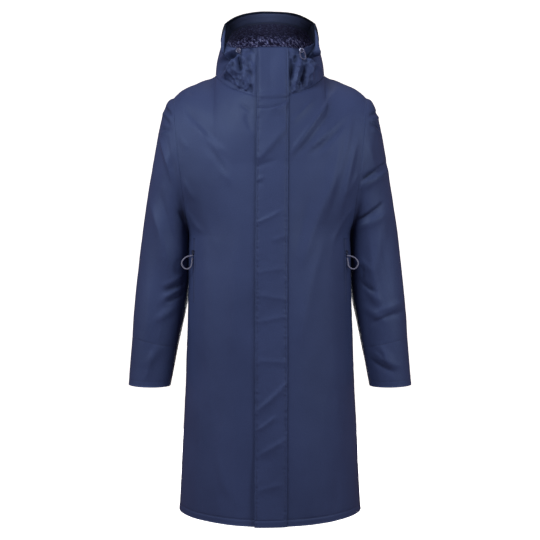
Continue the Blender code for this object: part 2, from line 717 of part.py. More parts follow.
def make_slider_and_loop(side_name, side):
    """The slider on a pocket zip, and the cord loop that pulls it."""
    x = side * (POCKET_X[0] + POCKET_X[1]) / 2
    row = row_at(SLIDER_Z)
    normal = front_normal(x, row)
    lift = POCKET_WALL + 2 * LAYER_GAP + SLIDER_SIZE[1] / 2
    middle = front_place(x, row, lift)
    down = (front_place(x, row + 0.01) - front_place(x, row)).normalized()
    across = normal.cross(down).normalized()
    down = across.cross(normal)
    shape = bmesh.new()
    bmesh.ops.create_cube(shape, size=1.0)
    turn = Matrix((across, normal, down)).transposed()
    for vertex in shape.verts:
        local = Vector([c * s for c, s in zip(vertex.co, SLIDER_SIZE)])
        vertex.co = middle + turn @ local
    mesh = bpy.data.meshes.new("pocket_slider_" + side_name)
    shape.to_mesh(mesh)
    shape.free()
    slider = add_object("pocket_slider_" + side_name, mesh, "metal")
    bevel = slider.modifiers.new("round", "BEVEL")
    bevel.width = 0.0009
    bevel.segments = 2
    start = middle + down * (SLIDER_SIZE[2] / 2 + PULL_CORD / 2 + CORD_CLEAR)
    start.y -= PULL_STAND_OFF
    route = [start + Vector((side * step["aside"], -step["out"], -step["down"]))
             for step in PULL_ROUTE]
    make_cord("pull_loop_" + side_name, route, PULL_CORD)


def hood_place(x, z, out):
    """The point of the collar front at a given x and z, moved out by out."""
    side = 1 if x >= 0 else -1
    u = 0.2
    v = 0.9
    for _ in range(40):
        place = hood_side_base(u, v)
        u += (abs(x) - place.x) * 1.5
        v += (z - place.z) * 4.0
    return hood_side_point(u, v, side, out)


def make_eyelet_and_cord(side_name, side):
    """An eyelet at the side of the collar top, and the elastic cord loop that comes out of it."""
    x = side * EYELET_PLACE[0]
    base = hood_place(x, EYELET_PLACE[1], 0.0)
    normal = (hood_place(x, EYELET_PLACE[1], 0.01) - base).normalized()
    bpy.ops.mesh.primitive_torus_add(
        major_segments=16, minor_segments=8, major_radius=EYELET_RADIUS,
        minor_radius=EYELET_WIRE, location=base + normal * EYELET_LIFT,
        rotation=normal.to_track_quat("Z", "Y").to_euler())
    eyelet = bpy.context.object
    eyelet.name = "hood_eyelet_" + side_name
    for collection in eyelet.users_collection:
        collection.objects.unlink(eyelet)
    ROBE.objects.link(eyelet)
    eyelet.data.materials.append(material("metal"))
    eyelet.data.shade_smooth()
    aside = Vector((0.0, 0.0, 1.0)).cross(normal).normalized()
    start = base + normal * (EYELET_LIFT - EYELET_WIRE + CORD_CLEAR)
    route = []
    for step in HOOD_CORD_ROUTES[side_name]:
        place = start + aside * step["aside"] + normal * step["out"]
        place.z -= step["down"]
        route.append(place)
    make_cord("hood_cord_" + side_name, route, HOOD_CORD)


ROBE = None


def main():
    global ROBE
    for old in list(bpy.data.objects):
        bpy.data.objects.remove(old)
    ROBE = bpy.data.collections.new("changing_robe")
    bpy.context.scene.collection.children.link(ROBE)
    for side_name, side in (("right", -1), ("left", 1)):
        make_front("front_" + side_name, side)
        make_sleeve("sleeve_" + side_name, side)
        make_hood_side("hood_side_" + side_name, side)
        make_pocket(side_name, side)
        make_slider_and_loop(side_name, side)
        make_eyelet_and_cord(side_name, side)
    make_back()
    make_hood_centre()
    make_hood_layer("hood_facing", FACING_SPAN, 4, 0.66, FACING_WALL, "shell")
    make_hood_layer("hood_lining", LINING_SPAN, 11, 0.05, LINING_WALL, "fleece")
    make_storm_flap()
    make_front_zip()


main()
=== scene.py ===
"""Looks of the hooded changing robe: cloth, fleece, sewing and cords round its CAD frame.

Metres, +Z up.  The robe faces -Y and +X is the wearer's left.  The shape tables and the functions
that read them are the ones that the robe's solids are made from, with finer grids here.
"""

import math

import bpy
import numpy as np
from mathutils import Matrix, Vector, noise


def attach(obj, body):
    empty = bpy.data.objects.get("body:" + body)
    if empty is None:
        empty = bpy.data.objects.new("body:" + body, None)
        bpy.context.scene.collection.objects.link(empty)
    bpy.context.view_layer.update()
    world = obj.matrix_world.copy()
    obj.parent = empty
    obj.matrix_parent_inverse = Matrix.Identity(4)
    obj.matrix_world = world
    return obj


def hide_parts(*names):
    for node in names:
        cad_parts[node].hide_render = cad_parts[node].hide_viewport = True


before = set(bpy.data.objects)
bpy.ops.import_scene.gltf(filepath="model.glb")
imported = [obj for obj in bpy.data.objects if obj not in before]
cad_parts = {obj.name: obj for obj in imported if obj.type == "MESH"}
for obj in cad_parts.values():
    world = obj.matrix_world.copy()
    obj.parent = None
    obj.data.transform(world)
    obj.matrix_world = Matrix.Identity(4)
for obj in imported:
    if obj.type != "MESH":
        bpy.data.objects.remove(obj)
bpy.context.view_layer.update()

# ---- driving sizes
SHELL_WALL = 0.0020          # shell cloth with its backing
SEAM_INSET = 0.0006          # each piece stops this far short of a flat seam

HEM_Z = -1.056
ARM_MIDDLE = Vector((0.216, 0.0, -0.217))     # middle of the armhole, on the +X side
ARM_LEAN = 0.019                              # shoulder end lies further out than the underarm
ARM_HALF_HEIGHT = 0.168
ARM_HALF_DEPTH = 0.086
UNDERARM_Z = ARM_MIDDLE.z - ARM_HALF_HEIGHT

NECK_HALF_WIDTH = 0.133
NECK_MIDDLE_Y = 0.005
NECK_FRONT = 0.127           # from the neck's middle forward
NECK_BACK = 0.083            # and backward
NECK_SIDE_Z = 0.006
NECK_FRONT_DROP = 0.067
NECK_BACK_RISE = 0.006
NECK_SHARE = 0.60            # share of a panel's top edge that is neck seam, the rest is shoulder
CHEST_EASE = 0.9             # how gently the fronts leave the neck seam

FLAP_WALL = 0.0024
FLAP_LIFT = 0.0012           # clearance between the flap and the fronts under it
FLAP_FREE_X = (-0.031, -0.035)    # free edge, at the top and at the hem
FLAP_SEWN_X = (0.043, 0.039)      # sewn edge, at the top and at the hem
ZIP_HALF_WIDTH = 0.016
ZIP_DROP = 0.0014            # clearance between the fronts and the zip behind them
ZIP_END_Z = -0.90

LINING_WALL = 0.0026
FACING_WALL = 0.0012
LAYER_GAP = 0.0006           # between a panel and what lies on it
LINING_GAP = 0.0020          # between the hood's shell and what lines it
FACING_SPAN = (0.040, 0.250)      # along the crown, 0 at the brim and 1 at the back neck
LINING_SPAN = (0.2520, 0.955)

POCKET_Z = (-0.392, -0.545)
POCKET_X = (0.1765, 0.1835)
POCKET_WALL = 0.0016
SLIDER_Z = -0.4255
SLIDER_SIZE = (0.0070, 0.0036, 0.0110)        # across, out and down
PULL_CORD = 0.0034           # diameter
PULL_STAND_OFF = 0.0008      # the pull loop hangs this far in front of its slider's middle
HOOD_CORD = 0.0026
CORD_CLEAR = 0.0006          # between a cord's cut end and what it comes out of
EYELET_PLACE = (0.074, 0.050)     # x and z, seen from the front
EYELET_WIRE = 0.0012
EYELET_LIFT = 0.0014

# Columns that hold plain numbers or degrees.  The others are written in millimetres.
PLAIN = "fullness reach ring u s turn bow skew".split()


def table(names, text):
    """A short table as a list of rows with named columns, in metres and plain numbers."""
    rows = [line.partition("#")[0].split() for line in text.splitlines()]
    return [{name: float(word if name in PLAIN else word + "e-3")
             for name, word in zip(names.split(), row)} for row in rows if row]


def creases(text):
    """Soft ridges (and troughs, with a negative height) seen from the front or the back.

    Each row has its two ends, how wide it is and how high it stands.  A sideways bow as a share of the
    length and a skew may follow: 0 is even, towards 1 the side on the left of the run is steeper.
    """
    return table("x0 z0 x1 z1 width height bow skew", text)


# Body sections: half width at the side seam, how far back that seam lies, and the front and back
# depths at the middle.  A fullness of 2 is an oval, less is more pointed at the sides.
BODY = table("z half_width side_y front back fullness", """
-217 216 0 -141 137 1.75
-300 206 0 -146 141 1.85
-385 197 0 -149 143 1.95
-430 197.8 0 -150 144 1.95
-500 199.2 2 -151 144 1.95
-568 201 4 -151 145 1.95
-739 206.8 8 -151 147 1.92
-935 216.4 13 -150 150 1.88
-1056 222.8 16 -150 153 1.85
""")

# Shoulder seam, from the neck to the armhole.
SHOULDER = table("reach x z", """
0 133 6
.12 145 -.5
.28 161 -5
.48 182 -14.5
.7 204 -24.3
.86 220 -34.5
1 235 -49
""")

# Sleeve rings, each a tilted oval given by its outermost and innermost points and its half depth.
SLEEVE = table("ring outer_x outer_z inner_x inner_z half_depth y", """
0 235 -49 197 -385 86 0
1 248.5 -56.2 198.5 -388 87 6
2 260.2 -76.8 199 -394 89 12
3 268.8 -108 198.5 -402 90 17
4 277.8 -150 197.8 -414 90 22
5 290.3 -220 197.4 -437 88 26
6 302.8 -295 197.6 -470 84 28
7 314.8 -375 199.2 -507 79 28
8 324.9 -465 204 -552 73 25
9 333.2 -555 214.9 -604 66 18
10 339.9 -652 228.4 -672 57 11
11 346.8 -750 243.8 -753 49 6
""")

# Upper edge of a hood side panel: the edge of the face opening, from the middle of the collar top
# round to the brim's corner.  "turn" is the place on the neck seam below it, in degrees from the
# front.
OPENING = table("u x y z turn bulge", """
0 0 -104 57 0 0
.1 40 -103 56.5 12 3
.19 76 -98 56 23 6
.26 98.5 -87.5 64 32 8
.32 112 -76.5 81.5 40 8
.37 111.5 -77 100.5 45.5 8
.42 105.5 -78 119 51 8
""")
CORNER_U = OPENING[-1]["u"]

# Crown: the seam between the centre and side panels, and how much higher the middle lies.
CROWN = table("s x y z rise_y rise_z turn bulge", """
0 105.5 -78 119 -4 27 51 8
.14 102.5 -45 121 -4 28.5 64 8
.29 100 -5 119 -3 24 82 8
.45 98 35 114 3 22.5 101 9
.62 92 75 98 14 21 121 11
.78 77 105 66 16 13 138 8
.9 60 106 36 12 5 150 3
1 50 85 11.5 3 .5 158 0
""")
PINCH_RINGS = 7              # the sleeve's rings round out over this many of them
UNDERARM_ROUND = 2.6         # how full the armhole stays towards the underarm
CROWN_ARCH = 2.9             # how square the centre panel's arch is
FOLD_FREE_EDGE = 0.15        # folds fade over this share of a panel beside its side edge
FOLD_FREE_TOP = 0.25         # and over this many rows below its top
FLAP_STRAIGHT_ROW = 0.25     # the flap and zip start to slant from this row down
SIDE_END = 0.955             # where along the crown the side panels stop

# The soft folds that the solids have too.  Both sleeves and both hood sides have the same ones, mirrored.
FRONT_FOLDS = creases("""
170 -140 135 -300 18 4
135 -300 85 -440 20 3.5
200 -160 168 -320 15 3
52 -180 150 -50 12 2.6
88 -170 180 -80 12 2.4
115 -430 70 -640 24 2.8
-195 -85 -105 -185 13 -2.6
-150 -150 -105 -230 13 -2.2
-150 -420 -120 -700 30 2.4
120 -780 135 -1055 30 3
-110 -800 -125 -1055 30 3
""")
BACK_FOLDS = creases("""
-170 -150 -110 -330 18 4
175 -160 120 -350 18 3.8
-60 -80 -150 -170 13 2.4
55 -90 140 -160 13 2.4
30 -330 45 -800 30 3.2
-80 -450 -90 -1000 30 3.4
125 -620 140 -1055 28 3.4
-160 -780 -165 -1055 24 3
""")
SLEEVE_FOLDS = creases("""
232 -170 262 -245 12 4
250 -100 272 -122 8 -3
285 -330 232 -520 16 4.2
215 -500 262 -545 9 -4
220 -555 275 -590 9 3.4
262 -650 300 -700 11 3
""")
HOOD_FOLDS = creases("""
76 46 122 26 9 -7
80 40 110 -12 7 3.8
74 36 78 -30 6 -3.6
68 38 58 -44 6 3
92 -12 50 -46 8 -3.6
""")

# Routes of the cord loops: sideways and down from where they start, and outwards.
# A pull loop's sideways is towards the sleeve.
PULL_ROUTE = table("aside down out", """
0 -.3 0
7 .8 .4
15 3.2 .8
21.5 7.8 1
25.8 14.5 1
25.8 22.2 1
21.5 28.8 1
14.8 31.8 1
8 29.8 1
3.6 24.2 .8
2.2 17 .6
1.8 11 .3
.6 5.4 0
""")
HOOD_CORD_ROUTES = {
    "left": table("aside down out", """
-1.6 0 0
-2 .6 3.6
-4.2 4.2 6.4
-5.6 10 7.4
-4.4 16.6 7.6
0 22.2 7.4
5 23.6 7
8.2 20 6.8
7.8 13.8 6.8
5.8 7.4 6.6
3.2 2.2 5.2
1.8 .2 2.6
1.6 0 0
"""),
    "right": table("aside down out", """
-1.6 0 0
-1.8 .2 4.4
-1.2 1.2 9.6
.4 3.4 14.6
2.8 6.8 17.6
5.4 10.8 17.6
7 13.2 14.6
6.8 12.4 10.8
5.2 9 8.2
3.4 4.4 6.6
2 .8 4.4
1.6 0 1.8
1.6 0 0
"""),
}


# ---- reading the tables
def read(rows, key, at, names):
    """Columns of a table at a value of its key column, on smooth curves through the rows."""
    if rows[0][key] > rows[-1][key]:
        rows = rows[::-1]
    last = len(rows) - 2
    low = 0
    while low < last and at > rows[low + 1][key]:
        low += 1
    before = rows[max(low - 1, 0)]
    here = rows[low]
    there = rows[low + 1]
    after = rows[min(low + 2, last + 1)]
    step = there[key] - here[key]
    t = min(max((at - here[key]) / step, 0.0), 1.0)
    t2 = t * t
    t3 = t2 * t
    values = []
    for name in names.split():
        slope_here = (there[name] - before[name]) / (there[key] - before[key]) * step
        slope_there = (after[name] - here[name]) / (after[key] - here[key]) * step
        values.append((2 * t3 - 3 * t2 + 1) * here[name] + (t3 - 2 * t2 + t) * slope_here
                      + (3 * t2 - 2 * t3) * there[name] + (t3 - t2) * slope_there)
    return values


def mix(a, b, t):
    return a + (b - a) * t


def steps(first, last, count):
    """count equal steps from first to last, both ends included."""
    return [mix(first, last, i / count) for i in range(count + 1)]


def measured(rows, x, z):
    """Each row of folds or creases with its length, and how far x and z lie along and beside it.

    Along is a share of the length.  x and z are two numbers or two arrays.
    """
    for row in rows:
        run_x, run_z = row["x1"] - row["x0"], row["z1"] - row["z0"]
        length = math.hypot(run_x, run_z)
        from_x, from_z = x - row["x0"], z - row["z0"]
        yield (row, length, (from_x * run_x + from_z * run_z) / length ** 2,
               (from_x * run_z - from_z * run_x) / length)


def fold_height(folds, x, z):
    """How far the soft folds lift the cloth at a place seen from the front."""
    height = 0.0
    for row, _, along, aside in measured(folds, x, z):
        taper = math.exp(-(2.0 * along - 1.0) ** 4)
        height += row["height"] * taper * math.exp(-(aside / row["width"]) ** 2)
    return height


def slope(point, u, v, step, last_v):
    """The cross product of a surface's directions along u and v."""
    along_u = point(min(u + step, 1.0), v) - point(max(u - step, 0.0), v)
    return along_u.cross(point(u, min(v + step, last_v)) - point(u, max(v - step, 0.0)))


# ---- body
def neck_point(turn):
    """A point of the neck seam on the +X side, turn in degrees from the front."""
    angle = math.radians(turn)
    forward = math.cos(angle)
    if forward > 0:
        y = NECK_MIDDLE_Y - NECK_FRONT * forward
        z = NECK_SIDE_Z - NECK_FRONT_DROP * forward ** 1.5
    else:
        y = NECK_MIDDLE_Y - NECK_BACK * forward
        z = NECK_SIDE_Z - NECK_BACK_RISE * forward
    return Vector((NECK_HALF_WIDTH * math.sin(angle), y, z))


def underarm_pinch(turn):
    """How far the armhole narrows towards the underarm, from 1 at half height to 0."""
    below = max(turn / (math.pi / 2) - 1.0, 0.0)
    return 1.0 - below ** UNDERARM_ROUND


def armhole_point(turn, face):
    """A point of the armhole seam, turn from 0 at the shoulder to pi at the underarm."""
    depth = ARM_HALF_DEPTH * math.sin(turn) * underarm_pinch(turn)
    return ARM_MIDDLE + Vector((ARM_LEAN * math.cos(turn), face * depth,
                                ARM_HALF_HEIGHT * math.cos(turn)))


def panel_top(face, u):
    """The neck and shoulder edge of a front (face -1) or back (face 1), from its middle outwards."""
    if u <= NECK_SHARE:
        turn = 90.0 * u / NECK_SHARE
        return neck_point(turn if face < 0 else 180.0 - turn)
    reach = (u - NECK_SHARE) / (1.0 - NECK_SHARE)
    x, z = read(SHOULDER, "reach", reach, "x z")
    return Vector((x, mix(NECK_MIDDLE_Y, 0.0, reach), z))


def section_point(face, u, z, edge):
    """A point of the level section at height z, from the middle (u 0) to its edge (u 1).

    The section is part of an oval round the origin's axis that passes through the edge.
    """
    middle_y, fullness = read(BODY, "z", z, "front fullness" if face < 0 else "back fullness")
    side_y = edge.y if z < UNDERARM_Z else ARM_MIDDLE.y
    power = 2.0 / fullness
    edge_turn = math.acos(max((edge.y - side_y) / (middle_y - side_y), 0.0) ** (1.0 / power))
    half_width = edge.x / math.sin(edge_turn) ** power
    x = half_width * math.sin(u * edge_turn) ** power
    y = mix(side_y, middle_y, max(math.cos(u * edge_turn), 0.0) ** power)
    return Vector((x, y, z))


def side_seam(z):
    """The side seam between the fronts and the back, on the +X side."""
    return Vector((*read(BODY, "z", z, "half_width side_y"), z))


def panel_point(face, u, row):
    """A point of a front or back on the +X side, before its folds.

    Row 0 to 1 is the yoke, 1 to 2 runs beside the armhole and 2 to 3 from the underarm to the hem.
    """
    if row <= 1.0:
        turn = row * math.pi / 2
        top = panel_top(face, u)
        low = section_point(face, u, ARM_MIDDLE.z, armhole_point(math.pi / 2, face))
        fall = math.cos(turn)
        ease = 1.0 + CHEST_EASE * (1.0 - u) * (1.0 if face < 0 else 0.3)
        out = math.sin(turn) ** ease
        return Vector((mix(low.x, top.x, fall), mix(top.y, low.y, out), mix(low.z, top.z, fall)))
    if row <= 2.0:
        edge = armhole_point(row * math.pi / 2, face)
        return section_point(face, u, edge.z, edge)
    z = mix(UNDERARM_Z, HEM_Z, row - 2.0)
    return section_point(face, u, z, side_seam(z))


def folded_panel_point(face, u, row, side, out=0.0):
    """A point of a front or back with its folds, side 1 for +X and -1 for -X, moved out by out."""
    place = panel_point(face, u, row)
    normal = slope(lambda *at: panel_point(face, *at), u, row, 0.002, 3.0)
    if face < 0:
        normal.negate()
    normal.normalize()
    folds = FRONT_FOLDS if face < 0 else BACK_FOLDS
    fade = min((1.0 - u) / FOLD_FREE_EDGE, 1.0) * min(row / FOLD_FREE_TOP, 1.0)
    place += normal * (fold_height(folds, side * place.x, place.z) * fade + out)
    place.x *= side
    return place


def share_at(x, high, place):
    """The share, from 0 to high, at which a place that moves outwards has reached x."""
    low = 0.0
    for _ in range(30):
        middle = (low + high) / 2
        if place(middle).x < abs(x):
            low = middle
        else:
            high = middle
    return low


def front_place(x, row, out=0.0):
    """The point of the fronts at a given x on a row, moved out by out."""
    u = share_at(x, 0.95, lambda share: panel_point(-1, share, row))
    return folded_panel_point(-1, u, row, 1 if x >= 0 else -1, out)


def row_at(z):
    """The panel row of a height below the underarm."""
    return 2.0 + (z - UNDERARM_Z) / (HEM_Z - UNDERARM_Z)


# ---- sleeves
def sleeve_point(ring, turn):
    """A point of the +X sleeve: turn 0 is its outermost line, a quarter turn its front."""
    outer_x, outer_z, inner_x, inner_z, depth, y = read(
        SLEEVE, "ring", ring, "outer_x outer_z inner_x inner_z half_depth y")
    outer, inner = Vector((outer_x, 0.0, outer_z)), Vector((inner_x, 0.0, inner_z))
    place = (outer + inner) / 2 + (outer - inner) / 2 * math.cos(turn)
    pinch = underarm_pinch(min(turn, 2 * math.pi - turn))
    place.y = y - depth * mix(pinch, 1.0, min(ring / PINCH_RINGS, 1.0)) * math.sin(turn)
    fade = min(ring / 1.5, 1.0) * min((SLEEVE[-1]["ring"] - ring) / 0.8, 1.0)
    lift = fold_height(SLEEVE_FOLDS, place.x, place.z) * fade * abs(math.sin(turn))
    place.y += math.copysign(lift, -math.sin(turn))
    return place


# ---- hood
def side_columns(u):
    """Top, bottom and bulge of a hood side panel's column at u."""
    if u <= CORNER_U:
        row = read(OPENING, "u", u, "x y z turn bulge")
    else:
        row = read(CROWN, "s", (u - CORNER_U) / (1.0 - CORNER_U) * SIDE_END, "x y z turn bulge")
    return Vector(row[:3]), neck_point(row[3]), row[4]


def hood_side_base(u, v):
    """A point of the +X hood side panel before its folds, v 0 at the neck seam and 1 at its top."""
    top, bottom, bulge = side_columns(u)
    place = bottom.lerp(top, v)
    outward = Vector((place.x, place.y - NECK_MIDDLE_Y, 0.0)).normalized()
    return place + outward * bulge * 4.0 * v * (1.0 - v)


def hood_side_point(u, v, side, out=0.0):
    """The same with its folds, side 1 for +X and -1 for -X, moved out by out."""
    place = hood_side_base(u, v)
    normal = slope(hood_side_base, u, v, 0.004, 1.0).normalized()
    if normal.dot(Vector((place.x, place.y - NECK_MIDDLE_Y, 0.02))) < 0:
        normal.negate()
    fade = 4.0 * v * (1.0 - v) * min(max((0.60 - u) / 0.2, 0.0), 1.0)
    place += normal * (fold_height(HOOD_FOLDS, place.x, place.z) * min(fade * 1.5, 1.0) + out)
    place.x *= side
    return place


def crown_point(s, across):
    """A point of the centre panel, across from -1 to 1."""
    x, y, z, rise_y, rise_z = read(CROWN, "s", s, "x y z rise_y rise_z")
    share = 1.0 - abs(across) ** CROWN_ARCH
    return Vector((x * across, y + rise_y * share, z + rise_z * share))


def collar_place(x, v, out):
    """The point of the collar's front at a given x and share v of its height, moved out by out."""
    u = share_at(x, 0.3, lambda share: hood_side_base(share, v))
    return hood_side_point(u, v, 1 if x >= 0 else -1, out)


def smooth_route(points, pieces):
    """Points on a smooth curve through the given ones."""
    rows = [{"at": i, "x": p.x, "y": p.y, "z": p.z} for i, p in enumerate(points)]
    return [Vector(read(rows, "at", at, "x y z"))
            for at in steps(0, len(rows) - 1, (len(rows) - 1) * pieces)]


def hood_place(x, z, out):
    """The point of the collar front at a given x and z, moved out by out."""
    u = 0.2
    v = 0.9
    for _ in range(40):
        place = hood_side_base(u, v)
        u += (abs(x) - place.x) * 1.5
        v += (z - place.z) * 4.0
    return hood_side_point(u, v, 1 if x >= 0 else -1, out)


# ---- creases that only the cloth shows


FRONT_CREASES = creases("""
# across the wearer's right breast, towards the flap
-200 -78 -100 -203 5 -3.4 .02 .4
-176 -118 -108 -190 9.5 5.8 .03 .5
-150 -160 -98 -240 5.5 -3.7 .03 .4
-136 -196 -90 -262 10 2.7
-196 -38 -184 -46 4 -2.4
-68 -76 -40 -97 4 -2.7 .05
-54 -104 -40 -143 5 -2.7 .08
-90 -60 -40 -170 22 2 .05
-180 -240 -120 -420 26 2.2 .04 .2
# across the wearer's left breast
50 -118 98 -66 5 3.7 .03 .5
46 -194 150 -44 6.2 5.4 .02 .5
58 -200 140 -96 5 -3.4 .02 .3
85 -184 184 -90 5.8 4.4 .03 .5
98 -190 170 -126 4.5 -3.1 .03 .3
122 -194 176 -126 6 4.1 .02 .4
192 -110 128 -330 11 5.1 -.03 .4
152 -250 80 -440 11 3.7 .03 .4
206 -165 166 -335 9 4.4 .02 .3
180 -150 146 -300 8 -3.4
124 -400 66 -640 17 2.6 .03 .3
90 -300 60 -420 12 -2.4
# down the skirt
-150 -400 -140 -760 24 2.4 .02
-85 -380 -95 -700 20 1.6 -.02
-118 -900 -100 -985 11 2.4
-75 -720 -80 -1060 22 2.4 .01
-165 -760 -172 -1060 20 2.2 .01
150 -560 166 -900 24 2.2 .02
90 -860 96 -1060 20 2.2 .01
155 -930 160 -1060 15 -1.8
# short puckers where the sleeves pull at their seams
-216 -150 -196 -180 5 2.4
-206 -255 -178 -300 6 2.7
-198 -320 -160 -375 7 3.4 .05 .3
208 -240 178 -290 6 3.1
197 -320 150 -400 7 3.4 .05 .3
""")
BACK_CREASES = creases("""
-205 -95 -100 -235 7 4.5 .02 .5
-200 -140 -130 -250 5 -3 .02 .3
-190 -210 -110 -400 12 4.5 .03 .4
-160 -300 -85 -470 11 3 .04 .3
200 -100 96 -220 6.5 4.2 -.02 .5
198 -155 120 -270 5.2 -3 0 .3
188 -230 105 -420 12 4.2 -.03 .4
-70 -40 -20 -90 6 2.7 .05 .2
60 -45 15 -100 6 2.7 -.05 .2
-50 -110 55 -118 9 2.1 .04
20 -260 60 -620 22 3.9 .03 .2
-30 -480 -50 -900 24 3.9 .02 .2
100 -520 125 -960 22 3.9 .02
-130 -560 -150 -1000 22 3.9 -.02
10 -820 5 -1060 20 3.6 .01
165 -820 176 -1060 18 3.3 .01
-95 -860 -100 -1060 15 -3
60 -900 62 -1060 15 -3
""")
FLAP_CREASES = creases("""
-40 -62 50 -55.5 12.5 5 0 .1
-34 -85 8 -88.5 2.6 -1.4 .02
2 -86.5 44 -68 2.6 -1.8 .1
-34 -89.5 12 -92 12 3.2 .02 .8
2 -90.5 44 -69 12 5.4 .1 .8
22 -112 40 -126 4 1.4
-36 -219 42 -129 14 4.6 .02 -.5
-32 -227 14 -210 4 -2.2
-32 -256 -12 -248 3.6 2.2 0 .4
-32 -266 -16 -264 3 -1.4
-32 -356 28 -324 5.8 2.6 .03 .4
6 -396 42 -382 7 1.6
-32 -470 36 -460 8 1.4
-32 -520 40 -532 8 1.6
-32 -585 36 -570 8 1.6
-32 -672 38 -676 7 1.4
-30 -788 36 -724 8 3.8 .02 .4
-30 -832 12 -800 6 2.7 .02 .4
-26 -890 34 -854 8 2.7 0 .3
-26 -970 30 -956 9 1.6
""")
# On the +X side: the wearer's left sleeve, seen from the front.
SLEEVE_LEFT_CREASES = creases("""
236 -96 266 -78 3.6 -4.6 .05 .5
240 -108 268 -94 4 3.2 .05
240 -114 270 -130 3.6 -4.3 -.05 .4
244 -128 270 -142 4.5 2.7
214 -252 284 -205 5 -5.7 .03 .6
214 -268 286 -226 9.5 5.7 .03 .4
208 -348 268 -309 5 -5.7 .03 .6
210 -366 276 -334 11 5.7 .03 .4
240 -380 266 -560 12 4.2 .03 .3
268 -380 292 -520 10 -2.3 .02
248 -594 324 -566 4.6 -3.9 -.04 .6
250 -574 318 -548 9 3.5 -.04 .3
246 -684 300 -712 4.2 -4.1 .05 .5
252 -668 312 -700 7 3.5 .05 .3
268 -655 282 -690 5 2.2
222 -500 250 -520 6 -2.7 0 .3
218 -440 246 -470 7 2.7 0 .3
""")
# Also on the +X side, but for the wearer's right sleeve, which mirrors it.
SLEEVE_RIGHT_CREASES = creases("""
234 -94 256 -70 3.6 -4.9 .05 .5
236 -104 262 -86 4.2 3.5 .05
238 -116 256 -98 3.6 -4.3 .05 .4
236 -130 262 -128 3.6 -3.5 0 .3
238 -140 264 -140 5 3
266 -150 236 -250 9 4.9 .03 .4
244 -160 226 -240 7 -2.7
290 -310 240 -480 14 5.7 .04 .3
262 -290 222 -420 11 -3.5
218 -330 206 -352 5 -4.1 0 .3
252 -522 206 -498 4.6 -4.2 -.04 .5
258 -508 214 -482 7 3.3 -.04 .2
248 -546 212 -530 4.2 -3.5 -.04 .5
252 -534 216 -514 5 2.5
292 -500 300 -640 13 2.3 .02 .2
256 -560 268 -640 10 1.9 .02 .2
286 -670 300 -730 8 3 .04 .3
""")
SLEEVE_BACK_CREASES = creases("""
226 -150 272 -118 5 -3.9 .04 .5
226 -168 274 -136 9 4.4 .04 .3
216 -300 286 -250 5.6 -4.7 .03 .5
218 -322 290 -276 10 4.7 .03 .3
212 -420 280 -378 5 -4.2 .03 .5
216 -452 290 -418 11 4.9 .03 .3
222 -520 300 -496 6 -4.7 .03 .4
224 -548 304 -528 10 4.4 0 .3
240 -610 306 -640 8 3.6 .04 .3
250 -660 320 -700 7 3.1 0 .3
""")
# The gathers that run from the cord's eyelets, on the +X side.
HOOD_LEFT_CREASES = creases("""
78 46 128 24 11 -17 -.03 -.6
84 33 126 10 5 7.3 -.03 .3
74 49 88 22 4.2 -7.3 .06 .5
77 30 56 -56 5.6 8.6 .03 .4
85 24 80 -40 4 -7.8 .03 .2
98 18 99 -30 5 6.8 .03 .3
64 46 50 -24 4.6 -9.1 .03 .3
50 40 47 -40 4 -5.2 0 .4
107 12 110 -14 4.2 -5.2 0 .3
90 -12 82 -42 4 3.9
74 -6 70 -50 3.4 -4.4 .05 .3
""")
# The same for the -X side, mirrored.
HOOD_RIGHT_CREASES = creases("""
73 48 124 0 8.5 -15 -.04 -.5
80 55 128 34 6 5.2 -.04 .2
88 30 108 -8 5 6.5 0 .3
81 30 80 -8 4.6 8.1 0 .3
75 38 70 2 3.6 -9.1 .04 .3
62 36 41 -6 5.6 6.5 .04 .2
70 52 52 56 3 -6 .04
52 56 34 43 2.8 -5.5 .1
52 22 44 -14 3.6 -5.7 .05
98 4 74 -42 5 5.2 .03 .2
114 -12 52 -52 5.6 -6.5 -.06 .3
104 12 92 -24 4.4 -5.7
62 -12 56 -44 3.6 4.4
46 -30 42 -58 3.4 -3.9
""")
HOOD_BACK_CREASES = creases("""
20 100 75 52 8 2.2 .05 .3
-30 95 -80 40 8 2.2 -.05 .3
10 60 50 10 7 1.8 .05 .2
-15 50 -60 12 7 -1.6 0 .2
""")


def crease_lift(rows, x, z):
    """How far creases lift the cloth at arrays of places seen from the front or the back."""
    lift = np.zeros_like(x)
    for row, length, along, aside in measured(rows, x, z):
        near = np.clip(along, 0.0, 1.0)
        aside -= row.get("bow", 0.0) * length * 4.0 * near * (1.0 - near)
        skew = row.get("skew", 0.0)
        aside = np.abs(aside / (row["width"] * np.where(aside > 0.0, 1.0 + skew, 1.0 - skew)))
        lift += row["height"] * np.exp(-(2.0 * along - 1.0) ** 4 - aside ** 2 / (0.65 * aside + 0.35))
    return lift


def wander(points, sizes, seed):
    """Smooth noise from -1 to 1 over an array of points, stretched by one size or three."""
    flat = points.reshape(-1, 3) / np.array(sizes) + seed
    return np.array([noise.noise(Vector(p)) for p in flat.tolist()]).reshape(points.shape[:-1])


def crinkle(points, size, seed):
    """Sharp-bottomed creases between soft swellings, from -1 to 1, over an array of points."""
    return 1.0 - 2.0 * np.abs(wander(points, (size, size, size * 1.3), seed)) ** 0.7 * 1.6


# ---- camera, floor and light
EYE = Vector((0.0, -2.45, -0.372))
FLOOR_Z = -1.42              # the soles of whoever wears it
LENS = 66.67
SENSOR = 36.0
SHIFT = (0.0, -0.074)


def add_object(name, data):
    thing = bpy.data.objects.new(name, data)
    bpy.context.scene.collection.objects.link(thing)
    return thing


